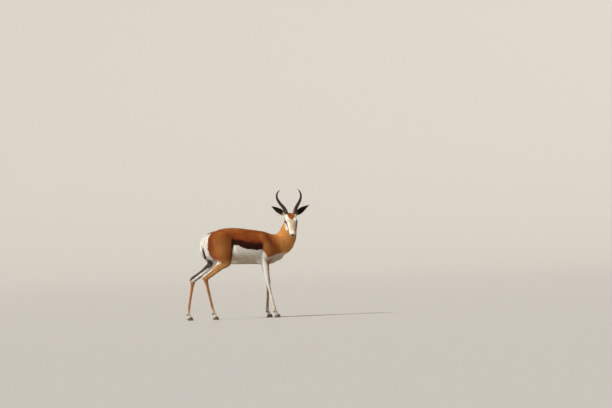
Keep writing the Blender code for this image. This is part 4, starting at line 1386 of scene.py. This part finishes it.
def tuft_values(points):
    """Tufts to a square metre, their length, width and lift at each point."""
    x, _, z = points.T
    values = np.tile(TUFTS["trunk"], (len(points), 1)).astype(float)
    rump = smoothstep(0.010, -0.010, rear_distance(points)) * smoothstep(0.52, 0.60, z)
    values = mix(values, TUFTS["rump"], rump * (x < 0))
    values = mix(values, TUFTS["neck"], smoothstep(0.38, 0.46, x))
    values = mix(values, TUFTS["leg"], smoothstep(0.50, 0.40, z))
    values = mix(values, TUFTS["tail"], tail_place(points)[1])
    values = mix(values, TUFTS["face"], face_share(points))
    nose = smoothstep(0.15, 0.21, head_place(points)[:, 0]) * face_share(points)
    values[:, 1] *= 1 - 0.35 * nose
    values[:, 1] *= 1 - 0.35 * smoothstep(0.10, 0.04, z)
    ears = ear_place(points)
    return mix(values, TUFTS["ear"], ears[0])


def bare_share(points):
    """1 on skin without hair: nose, lips and the rims of the lids."""
    bare = np.maximum(nose_share(points), mouth_share(points))
    for side in (-1, 1):
        opening, distance, _ = lid_place(points, side)
        bare = np.maximum(bare, smoothstep(1.32, 1.20, opening) * (distance < 1.6 * EYE_RADIUS))
    return bare


def scatter(places, normals, triangles, density, rng):
    """Roots spread over the triangles by density, with their normals."""
    corners = places[triangles]
    first, second, third = corners.transpose(1, 0, 2)
    area = np.linalg.norm(np.cross(second - first, third - first), axis=1) / 2
    total = np.cumsum(area * density[triangles].mean(axis=1))
    count = int(total[-1])
    chosen = np.searchsorted(total, (np.arange(count) + rng.random(count)) * total[-1] / count)
    chosen = np.minimum(chosen, len(triangles) - 1)
    shares = rng.random((count, 2))
    over = shares.sum(axis=1) > 1
    shares[over] = 1 - shares[over]
    shares = np.column_stack([1 - shares.sum(axis=1), shares])
    roots = np.einsum("nk,nkd->nd", shares, corners[chosen])
    facing = unit(np.einsum("nk,nkd->nd", shares, normals[triangles[chosen]]))
    return roots, facing


def unwrap_of(skin):
    """A coarser copy of the skin with its unwrap: corners in space and on the map."""
    copy = new_object("unwrap", skin.data.copy())
    thin = copy.modifiers.new("thin", "DECIMATE")
    thin.ratio = UNWRAP_FACES / len(triangles_of(skin.data))
    bake_modifiers(copy)
    for other in bpy.context.selected_objects:
        other.select_set(False)
    bpy.context.view_layer.objects.active = copy
    copy.select_set(True)
    bpy.ops.object.mode_set(mode="EDIT")
    bpy.ops.mesh.select_all(action="SELECT")
    bpy.ops.uv.smart_project(angle_limit=math.radians(66), island_margin=0.004)
    bpy.ops.object.mode_set(mode="OBJECT")
    mesh = copy.data
    triangles = triangles_of(mesh)
    loops = np.empty(len(mesh.loop_triangles) * 3, np.int32)
    mesh.loop_triangles.foreach_get("loops", loops)
    spots = np.empty(len(mesh.loops) * 2, np.float32)
    mesh.uv_layers.active.uv.foreach_get("vector", spots)
    corners = places_of(mesh)[triangles]
    on_map = spots.reshape(-1, 2)[loops.reshape(-1, 3)]
    bpy.data.objects.remove(copy)
    return corners, on_map


def map_places(points, corners, on_map):
    """Place of each point on the unwrap."""
    triangles = np.arange(len(corners) * 3).reshape(-1, 3)
    tree = BVHTree.FromPolygons(corners.reshape(-1, 3).tolist(), triangles.tolist())
    found = [tree.find_nearest(point) for point in points]
    chosen = np.array([hit[2] for hit in found])
    spots = np.array([hit[0] for hit in found])
    a, b, c = np.moveaxis(corners[chosen], 1, 0)
    ab, ac, ap = b - a, c - a, spots - a
    d00, d01, d11 = (ab * ab).sum(1), (ab * ac).sum(1), (ac * ac).sum(1)
    d20, d21 = (ap * ab).sum(1), (ap * ac).sum(1)
    scale = np.maximum(d00 * d11 - d01 * d01, 1e-18)
    second = (d11 * d20 - d01 * d21) / scale
    third = (d00 * d21 - d01 * d20) / scale
    shares = np.clip(np.column_stack([1 - second - third, second, third]), 0, 1)
    shares = shares / shares.sum(axis=1, keepdims=True)
    return np.einsum("nk,nkd->nd", shares, on_map[chosen])


def paint(mesh, colours):
    """Stores a colour for each vertex."""
    layer = mesh.color_attributes.new("coat_colour", "FLOAT_COLOR", "POINT")
    values = np.ones((len(colours), 4), np.float32)
    values[:, :3] = np.clip(colours, 0, 1)
    layer.data.foreach_set("color", values.ravel())


def store(mesh, name, values):
    layer = mesh.attributes.new(name, "FLOAT", "POINT")
    layer.data.foreach_set("value", np.asarray(values, np.float32))


def tuft_piece(name, roots, facing, lie, values, colours, spots, rng):
    """Joined mesh of flat pointed tufts: two faces each, rooted just under the skin."""
    count = len(roots)
    length = values[:, 1] * rng.uniform(0.72, 1.22, count)
    width = values[:, 2] * rng.uniform(0.75, 1.25, count)
    lift = np.radians(values[:, 3]) * rng.uniform(0.55, 1.45, count)
    turn = np.radians(rng.normal(0, TUFT_SPREAD, count))[:, None]
    across = np.cross(facing, lie)
    ahead = lie * np.cos(turn) + across * np.sin(turn)
    roll = np.radians(rng.normal(0, TUFT_ROLL, count))[:, None]
    across = unit(np.cross(facing, ahead)) * np.cos(roll) + facing * np.sin(roll)

    def spot(along, rise, side):
        middle = roots + ahead * (length * along)[:, None] + facing * rise[:, None]
        return middle + across * (side * width / 2)[:, None]

    start = np.full(count, -0.0004)
    middle = 0.50 * length * np.sin(lift) * 1.25
    tip = length * np.sin(lift) * 0.85
    corners = np.stack([
        spot(0.0, start, -0.85), spot(0.0, start, 0.85), spot(0.52, middle, 1.0),
        spot(0.52, middle, -1.0), spot(1.0, tip, 0.0),
    ], axis=1)
    base = np.arange(count)[:, None] * 5
    loops = np.hstack([base + [3, 2, 1, 0], base + [4, 2, 3]]).ravel()
    mesh = bpy.data.meshes.new(name)
    mesh.vertices.add(count * 5)
    mesh.loops.add(count * 7)
    mesh.polygons.add(count * 2)
    put = corners.reshape(-1, 3).astype(np.float32).ravel()
    mesh.vertices.foreach_set("co", put)
    mesh.loops.foreach_set("vertex_index", loops.astype(np.int32))
    starts = (np.arange(count)[:, None] * 7 + [0, 4]).ravel()
    mesh.polygons.foreach_set("loop_start", starts.astype(np.int32))
    mesh.update(calc_edges=True)

    tone = colours * rng.uniform(0.88, 1.10, (count, 1))
    # painted shade: each tuft is darker at its root and a little lighter at its tip
    shade = np.array([0.84, 0.84, 0.98, 0.98, 1.05])
    paint(mesh, (tone[:, None, :] * shade[None, :, None]).reshape(-1, 3))
    corner_spots = np.array([(-1, -1), (1, -1), (1, 0), (-1, 0), (0, 1)]) * UV_PATCH
    on_map = (spots[:, None, :] + corner_spots[None]).reshape(-1, 2)[loops]
    layer = mesh.uv_layers.new(name="OFBake")
    layer.uv.foreach_set("vector", on_map.astype(np.float32).ravel())
    soft = unit(facing + 0.13 * rng.normal(size=(count, 3)))
    mesh.normals_split_custom_set_from_vertices(np.repeat(soft, 5, axis=0))
    return new_object(name, mesh)


def coat_names(points):
    """Name of the coat piece that holds each root."""
    x, y, z = points.T
    side = np.where(y < 0, "right", "left")
    place = np.where(x < -0.02, "hindquarters", np.where(x < 0.20, "flank", "shoulder"))
    place = np.where(x > 0.42, "neck", place)
    place = np.where(z < 0.42, np.where(x < 0.1, "hindleg", "foreleg"), place)
    names = np.char.add(np.char.add(place, "_"), side)
    names = np.where(face_share(points) > 0.5, "head", names)
    names = np.where(ear_place(points)[0] > 0.5, "ears", names)
    return np.where((tail_place(points)[1] > 0.5) & (z < 0.77), "tail", names)


def make_coat(skin):
    """Tufts over the whole skin, in pieces by the part of the body."""
    rng = np.random.default_rng(TUFT_SEED)
    mesh = skin.data
    places, normals, triangles = places_of(mesh), normals_of(mesh), triangles_of(mesh)
    density = tuft_values(places)[:, 0] * (1 - bare_share(places))
    density[places[:, 2] < 0.020] = 0.0
    roots, facing = scatter(places, normals, triangles, density, rng)
    values = tuft_values(roots)
    lie = lie_of_coat(roots, facing)
    colours = coat_colour(roots, facing)
    spots = map_places(roots, *unwrap_of(skin))
    names = coat_names(roots)
    made = []
    for name in sorted(set(names)):
        own = names == name
        parts = (roots[own], facing[own], lie[own], values[own], colours[own], spots[own])
        made.append(tuft_piece(f"coat_{name}", *parts, rng))
    return made


def horn(side):
    """Ringed horn with a smooth tip; the rings stand out most in front."""
    rows = smooth_curve(HORN, HORN_FINE_STEPS)
    root = on_head(HORN_ROOT[0], side * HORN_ROOT[1], HORN_ROOT[2])
    path = np.array([root + sideways_up_back(row[:3], side) for row in rows])
    part = np.linspace(0, 1, len(rows))
    tangent = unit(np.gradient(path, axis=0))
    ahead = np.array(sideways_up_back((0.0, 0.0, -1.0), side))
    front = unit(ahead - tangent * (tangent @ ahead)[:, None])
    across = np.cross(tangent, front)
    t = 2 * math.pi * np.arange(HORN_FINE_SIDES) / HORN_FINE_SIDES
    slope = part[:, None] + 0.004 * np.cos(t)
    wobble = 0.10 * np.sin(2 * math.pi * 3.3 * slope)
    phase = (HORN_FINE_RINGS * slope / HORN_RINGED_PART + wobble) % 1.0
    crest = np.where(phase < 0.62, smoothstep(0.0, 0.62, phase), smoothstep(1.0, 0.62, phase))
    ringed = smoothstep(HORN_RINGED_PART + 0.05, HORN_RINGED_PART - 0.10, part)[:, None]
    ringed = ringed * smoothstep(0.02, 0.08, part)[:, None]
    stand = HORN_FINE_DEPTH * ringed * (crest - 0.45) * (0.75 + 0.35 * np.cos(t))
    grain = np.sin(17 * t + 2.0 * np.sin(5 * t) + 9.0 * part[:, None])
    radius = rows[:, 3:4] / 2 + stand + HORN_GRAIN * grain * smoothstep(1.0, 0.8, part)[:, None]
    hidden, full = HORN_ROOT_SCALE
    radius = radius * (hidden + (1 - hidden) * smoothstep(0.0, full, part))[:, None]
    offsets = (radius * np.cos(t))[..., None] * front[:, None]
    offsets = offsets + (HORN_FLATNESS * radius * np.sin(t))[..., None] * across[:, None]
    bm = bmesh.new()
    loft(bm, list(path[:, None] + offsets))
    piece = from_bmesh(f"horn_{LABELS[side]}_fine", bm)
    tone = np.tile(HORN_BLACK, (len(part) * len(t) + 2, 1))
    base = smoothstep(0.34, 0.02, part)[:, None] * np.ones(len(t))
    worn = 0.55 * crest * ringed + 0.15 * grain * 0.5
    share = np.clip(0.85 * base + 0.22 * worn, 0, 1)
    tone[:-2] = mix(tone[:-2], HORN_BROWN, share.ravel())
    paint(piece.data, tone)
    return piece


def hoof(label, coronet, side):
    """One claw with growth rings, a bevelled edge and a flat sole."""
    t = 2 * math.pi * np.arange(HOOF_FINE_SIDES) / HOOF_FINE_SIDES
    rings, tones = [], []
    levels = np.linspace(0, 1, HOOF_FINE_LEVELS)
    for rise in np.concatenate([[0.0], levels]):
        edge = 0.94 if not rings else 1.0 - HOOF_SHOULDER * smoothstep(0.80, 1.0, rise) ** 2
        length = edge * np.interp(rise, (0, 0.5, 1), HOOF_HALF_LENGTHS)
        length = length + HOOF_RIDGE * math.sin(30 * rise) * (rise > 0)
        middle = np.interp(rise, (0, 0.5, 1), HOOF_MIDDLES)
        ahead = middle + length * np.cos(t)
        half = edge * HOOF_WIDTH / 2 * (1 + HOOF_INNER) * (1 - HOOF_NARROWING * rise)
        across = half * np.sin(t) * (1 - HOOF_TAPER * np.cos(t))
        start = CLEFT / 2 - HOOF_INNER * np.min(half * np.sin(t) * (1 - HOOF_TAPER * np.cos(t)))
        across = np.where(across < 0, HOOF_INNER * across, across)
        top = CORONET_HEIGHT + CORONET_SLOPE * ahead
        lifted = np.maximum(rise * top, 0.0 if not rings else 0.0012)
        x = coronet[0] + ahead
        y = coronet[1] + side * (start + across)
        rings.append(np.column_stack([x, y, lifted]))
        tone = mix(np.tile(HOOF_BLACK, (len(t), 1)), HOOF_EDGE, np.full(len(t), 0.7 * (1 - rise) ** 2))
        tones.append(mix(tone, HOOF_EDGE, np.full(len(t), 0.5 * max(0.0, math.sin(30 * rise)) ** 4)))
    bm = bmesh.new()
    loft(bm, rings)
    piece = from_bmesh(f"{label}_hoof_{LABELS[side]}_fine", bm)
    paint(piece.data, np.vstack([*tones, [HOOF_EDGE, HOOF_BLACK]]))
    return piece


def dewclaw(label, joints, side):
    heel = Vector(joints[-2]).lerp(Vector(joints[-1]), DEWCLAW_PLACE)
    ahead = heel.x - DEWCLAW_BEHIND + DEWCLAW_SUNK
    place = (ahead, heel.y + side * DEWCLAW_SIDE * DEWCLAW_CLOSER, DEWCLAW_HEIGHT)
    radii = [DEWCLAW_SCALE * radius for radius in DEWCLAW_RADII]
    bm = ordered_sphere(place, radii, Matrix.Rotation(math.radians(DEWCLAW_TILT), 4, "Y"))
    piece = from_bmesh(f"{label}_dewclaw_{LABELS[side]}_fine", bm)
    places = places_of(piece.data)
    low = smoothstep(place[2], place[2] - DEWCLAW_RADII[2], places[:, 2])
    places[:, :2] -= (places[:, :2] - np.array(place[:2])) * (0.40 * low)[:, None]
    put_places(piece.data, places)
    paint(piece.data, mix(all_over(HOOF_BLACK, places), HOOF_EDGE, 0.5 * low))
    return piece


def eye(side):
    """Dark eye with a level oval pupil and a slightly raised front."""
    centre, outward, back, up = eye_frame(side)
    bm = ordered_sphere((0, 0, 0), (EYE_RADIUS,) * 3, segments=72)
    piece = from_bmesh(f"eye_{LABELS[side]}_fine", bm)
    places = places_of(piece.data)
    angle = np.degrees(np.arccos(np.clip(places[:, 2] / EYE_RADIUS, -1, 1)))
    bulge = 1 + EYE_BULGE * bell(angle, 30)
    turn = np.degrees(np.arctan2(places[:, 1], places[:, 0]))
    across, tall = angle * np.cos(np.radians(turn)), angle * np.sin(np.radians(turn))
    pupil = smoothstep(1.12, 0.95, np.hypot(across / PUPIL_SIZE[0], tall / PUPIL_SIZE[1]))
    iris = smoothstep(*IRIS_EDGE, angle)
    streaks = 0.5 + 0.5 * np.sin(np.radians(turn) * 46 + 3 * np.sin(np.radians(turn) * 7))
    tone = all_over(BLACK_SKIN, places)
    tone = mix(tone, IRIS_BROWN, iris * (0.65 + 0.35 * streaks))
    tone = mix(tone, IRIS_LIGHT, iris * 0.45 * bell(angle - 29, 6) * streaks)
    tone = mix(tone, PUPIL_BLACK, pupil)
    frame_axes = np.array([back, up, outward])
    put_places(piece.data, centre + (places * bulge[:, None]) @ frame_axes)
    if side > 0:
        piece.data.flip_normals()
    paint(piece.data, tone)
    return piece


def lashes(side):
    """Short dark lashes along the edge of the upper lid."""
    centre, outward, back, up = eye_frame(side)
    rng = np.random.default_rng(TUFT_SEED + 5 + side)
    along = np.linspace(-0.80, 0.86, LASHES) * LID_LONG
    rise = LID_ABOVE * (1 - np.abs(along / LID_LONG) ** LID_POWER) ** (1 / LID_POWER)
    angles = np.column_stack([along, rise]) / EYE_RADIUS
    direction = unit(outward + np.tan(angles[:, :1]) * back + np.tan(angles[:, 1:]) * up)
    roots = centre + direction * (EYE_RADIUS + 0.6 * LID_STANDS)
    lean = unit(0.9 * outward + 0.55 * up + back * (along / LID_LONG)[:, None] * 0.8)
    facing = unit(np.cross(lean, unit(back + 0 * lean)))
    count = len(roots)
    values = np.tile((0, LASH_LENGTH, 0.0005, 12.0), (count, 1))
    colours = np.tile(BLACK_SKIN, (count, 1))
    spots = np.tile((0.5, 0.5), (count, 1)) + np.linspace(0, 0.1, count)[:, None]
    return tuft_piece(f"lashes_{LABELS[side]}", roots, facing, lean, values, colours, spots, rng)


def map_range(tree, source, given, wanted):
    """Output that runs over the wanted range while source runs over the given one."""
    node = tree.nodes.new("ShaderNodeMapRange")
    for socket, value in zip(("From Min", "From Max", "To Min", "To Max"), (*given, *wanted)):
        node.inputs[socket].default_value = value
    tree.links.new(source, node.inputs["Value"])
    return node.outputs["Result"]


def material(name, colours, roughness, bump, scales, extra=()):
    """Painted surface with fine mottling and grain. scales are the sizes of the two noises."""
    made = bpy.data.materials.new(name)
    made.use_nodes = True
    nodes, links = made.node_tree.nodes, made.node_tree.links
    shader = nodes["Principled BSDF"]
    place = nodes.new("ShaderNodeTexCoord")
    painted = nodes.new("ShaderNodeAttribute")
    painted.attribute_name = colours
    noises = []
    for scale in scales:
        noise = nodes.new("ShaderNodeTexNoise")
        noise.inputs["Scale"].default_value = scale
        noise.inputs["Detail"].default_value = 5.0
        noise.inputs["Roughness"].default_value = 0.6
        links.new(place.outputs["Object"], noise.inputs["Vector"])
        noises.append(noise)
    base = painted.outputs["Color"]
    for noise, low, high in zip(noises, (0.90, 0.84), (1.10, 1.16)):
        span = map_range(made.node_tree, noise.outputs["Fac"], NOISE_SPAN, (low, high))
        times = nodes.new("ShaderNodeVectorMath")
        times.operation = "SCALE"
        links.new(base, times.inputs[0])
        links.new(span, times.inputs["Scale"])
        base = times.outputs["Vector"]
    links.new(base, shader.inputs["Base Color"])
    rough = map_range(made.node_tree, noises[0].outputs["Fac"], NOISE_SPAN, roughness)
    links.new(rough, shader.inputs["Roughness"])
    relief = nodes.new("ShaderNodeBump")
    relief.inputs["Strength"].default_value = bump[0]
    relief.inputs["Distance"].default_value = bump[1]
    links.new(noises[-1].outputs["Fac"], relief.inputs["Height"])
    links.new(relief.outputs["Normal"], shader.inputs["Normal"])
    for socket, value in extra:
        shader.inputs[socket].default_value = value
    return made


def skin_material(coat):
    """The coat's own finish, smoother and moist on the bare skin."""
    made = coat.copy()
    made.name = "skin"
    nodes, links = made.node_tree.nodes, made.node_tree.links
    shader = nodes["Principled BSDF"]
    bare = nodes.new("ShaderNodeAttribute")
    bare.attribute_name = "bare"
    blend = nodes.new("ShaderNodeMix")
    blend.data_type = "FLOAT"
    dry = shader.inputs["Roughness"].links[0].from_socket
    links.new(bare.outputs["Fac"], blend.inputs["Factor"])
    links.new(dry, blend.inputs["A"])
    blend.inputs["B"].default_value = BARE_ROUGHNESS
    links.new(blend.outputs["Result"], shader.inputs["Roughness"])
    return made


def plain_material(name, colour):
    """Studio surface with a faint mottling."""
    made = bpy.data.materials.new(name)
    made.use_nodes = True
    nodes, links = made.node_tree.nodes, made.node_tree.links
    shader = nodes["Principled BSDF"]
    noise = nodes.new("ShaderNodeTexNoise")
    noise.inputs["Scale"].default_value = 3.0
    ramp = nodes.new("ShaderNodeMix")
    ramp.data_type = "RGBA"
    ramp.inputs["A"].default_value = (*[0.985 * part for part in colour], 1)
    ramp.inputs["B"].default_value = (*colour, 1)
    links.new(noise.outputs["Fac"], ramp.inputs["Factor"])
    links.new(ramp.outputs["Result"], shader.inputs["Base Color"])
    shader.inputs["Roughness"].default_value = 0.95
    shader.inputs["Specular IOR Level"].default_value = 0.1
    return made


def finish_piece(piece, look, nodes=()):
    """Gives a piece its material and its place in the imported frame."""
    piece.data.materials.clear()
    piece.data.materials.append(look)
    piece.data.shade_smooth()
    piece.location = FRAME_SHIFT
    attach(piece, "root")
    if nodes:
        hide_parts(*nodes)


def view_axes():
    """Direction towards the camera, level direction to the picture's right, its right and its up."""
    turn, roll = math.radians(VIEW_TURN), math.radians(VIEW_ROLL)
    level = Vector((math.cos(turn), math.sin(turn), 0.0))
    towards = Vector((math.sin(turn), -math.cos(turn), 0.0))
    right = level * math.cos(roll) - Vector((0, 0, 1)) * math.sin(roll)
    up = level * math.sin(roll) + Vector((0, 0, 1)) * math.cos(roll)
    return towards, level, right, up


def even_backdrop(material, from_sun):
    """Gives the walls that the sun misses as much light as the ones it reaches."""
    tree = material.node_tree
    shader = next(node for node in tree.nodes if node.type == "BSDF_PRINCIPLED")
    geometry = tree.nodes.new("ShaderNodeNewGeometry")
    facing = tree.nodes.new("ShaderNodeVectorMath")
    facing.operation = "DOT_PRODUCT"
    facing.inputs[1].default_value = from_sun.normalized()
    tree.links.new(geometry.outputs["Normal"], facing.inputs[0])
    glow = map_range(tree, facing.outputs["Value"], (BACKDROP_LIT, 0.0), (0.0, BACKDROP_GLOW))
    tree.links.new(glow, shader.inputs["Emission Strength"])
    shader.inputs["Emission Color"].default_value = (*BACKDROP_COLOUR, 1)


def add_studio():
    """Pale floor and the wall it curves into far away, a soft sun, pale light all round, the camera."""
    towards, level, right, up = view_axes()
    middle = towards * FLOOR_SHIFT
    bend = np.linspace(0, math.pi / 2, 25)[1:]
    flat = np.linspace(0, FLOOR_RADIUS, 12)[1:]
    radii = np.concatenate([flat, FLOOR_RADIUS + COVE_RADIUS * np.sin(bend)])
    heights = np.concatenate([0 * flat, COVE_RADIUS * (1 - np.cos(bend))])
    t = 2 * math.pi * np.arange(96) / 96
    stages = []
    for name, start, end in (("studio_floor", 0, len(flat)), ("studio_wall", len(flat) - 2, len(radii))):
        bm = bmesh.new()
        rows = [
            [bm.verts.new((middle.x + r * math.cos(a), middle.y + r * math.sin(a), h)) for a in t]
            for r, h in zip(radii[start:end], heights[start:end])
        ]
        if start == 0:
            bm.faces.new(rows[0])
        for low, high in zip(rows, rows[1:]):
            for i in range(len(t)):
                j = (i + 1) % len(t)
                bm.faces.new((low[i], low[j], high[j], high[i]))
        stages.append(from_bmesh(name, bm))
    floor, wall = stages
    wall.location.z = -FLOOR_STEP
    wall.visible_shadow = False
    from_sun = SUN_PLACE[0] * level + SUN_PLACE[1] * towards + SUN_PLACE[2] * Vector((0, 0, 1))
    for stage in stages:
        stage.data.materials.append(plain_material(stage.name, FLOOR_COLOUR))
        stage.data.shade_smooth()
    even_backdrop(wall.data.materials[0], from_sun)

    sun = bpy.data.lights.new("soft_sun", "SUN")
    sun.energy = SUN_POWER
    sun.angle = math.radians(SUN_SOFTNESS)
    sun.color = SUN_COLOUR
    lamp = new_object("soft_sun", sun)
    lamp.rotation_euler = from_sun.to_track_quat("Z", "Y").to_euler()
    world = bpy.data.worlds.new("studio_light")
    world.use_nodes = True
    world.node_tree.nodes["Background"].inputs["Color"].default_value = (*WORLD_COLOUR, 1)
    world.node_tree.nodes["Background"].inputs["Strength"].default_value = WORLD_POWER
    bpy.context.scene.world = world
    bpy.context.scene.view_settings.view_transform = "Standard"

    lens = bpy.data.cameras.new("camera")
    lens.lens = LENS
    lens.sensor_width = SENSOR
    lens.clip_end = 400.0
    camera = new_object("camera", lens)
    distance = VIEW_WIDTH * LENS / SENSOR
    place = level * VIEW_MIDDLE[0] + Vector((0, 0, VIEW_MIDDLE[1])) + towards * distance
    turn = Matrix((right, up, right.cross(up))).transposed()
    camera.rotation_euler = turn.to_euler()
    camera.location = place + Vector(FRAME_SHIFT)
    bpy.context.scene.camera = camera


def leg_nodes():
    names = []
    for side in LABELS.values():
        names += [f"foreleg_{side}_{part}" for part in ("forearm", "cannon", "pastern")]
        names += [f"hindleg_{side}_{part}" for part in ("thigh", "shank", "cannon", "pastern")]
    return names


low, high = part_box("eye_right")
shift = (low + high) / 2 - on_head(EYE_ALONG, -EYE_SIDE, EYE_RISE)
FRAME_SHIFT = (shift.x, shift.y, 0.0)

coat_look = material(
    "coat", "coat_colour", (0.72, 0.90), (0.35, 0.0010), (45.0, 900.0),
    (("Sheen Weight", 0.05), ("Sheen Roughness", 0.45), ("Specular IOR Level", 0.15)),
)
horn_look = material(
    "horn", "coat_colour", (0.40, 0.62), (0.30, 0.0006), (60.0, 1400.0),
    (("Specular IOR Level", 0.24),),
)
hoof_look = material("hoof", "coat_colour", (0.38, 0.62), (0.30, 0.0006), (120.0, 1600.0))
eye_look = material(
    "eye", "coat_colour", (0.030, 0.045), (0.0, 0.0001), (200.0, 900.0),
    (("IOR", 1.42), ("Coat Weight", 0.6), ("Coat Roughness", 0.02)),
)

skin = make_skin()
skin_places = places_of(skin.data)
# painted shade darkens the skin under the coat
paint(skin.data, coat_colour(skin_places, normals_of(skin.data)) * SKIN_PAINTED_SHADE)
store(skin.data, "bare", bare_share(skin_places))
flesh_nodes = ["trunk", "neck", "head", "tail", "ear_left", "ear_right", *leg_nodes()]
coat_pieces = make_coat(skin)
finish_piece(skin, skin_material(coat_look), flesh_nodes)
for piece in coat_pieces:
    finish_piece(piece, coat_look)

for side, label in LABELS.items():
    finish_piece(horn(side), horn_look, (f"horn_{label}",))
    finish_piece(eye(side), eye_look, (f"eye_{label}",))
    finish_piece(lashes(side), coat_look)
feet = zip(("foreleg_right", "foreleg_left", "hindleg_right", "hindleg_left"), LEGS)
for name, (_, joints, _) in feet:
    for side, label in LABELS.items():
        finish_piece(hoof(name, joints[-1], side), hoof_look, (f"{name}_hoof_{label}",))
        claw = dewclaw(name, joints, side)
        finish_piece(claw, hoof_look, (f"{name}_dewclaw_{label}",))

add_studio()
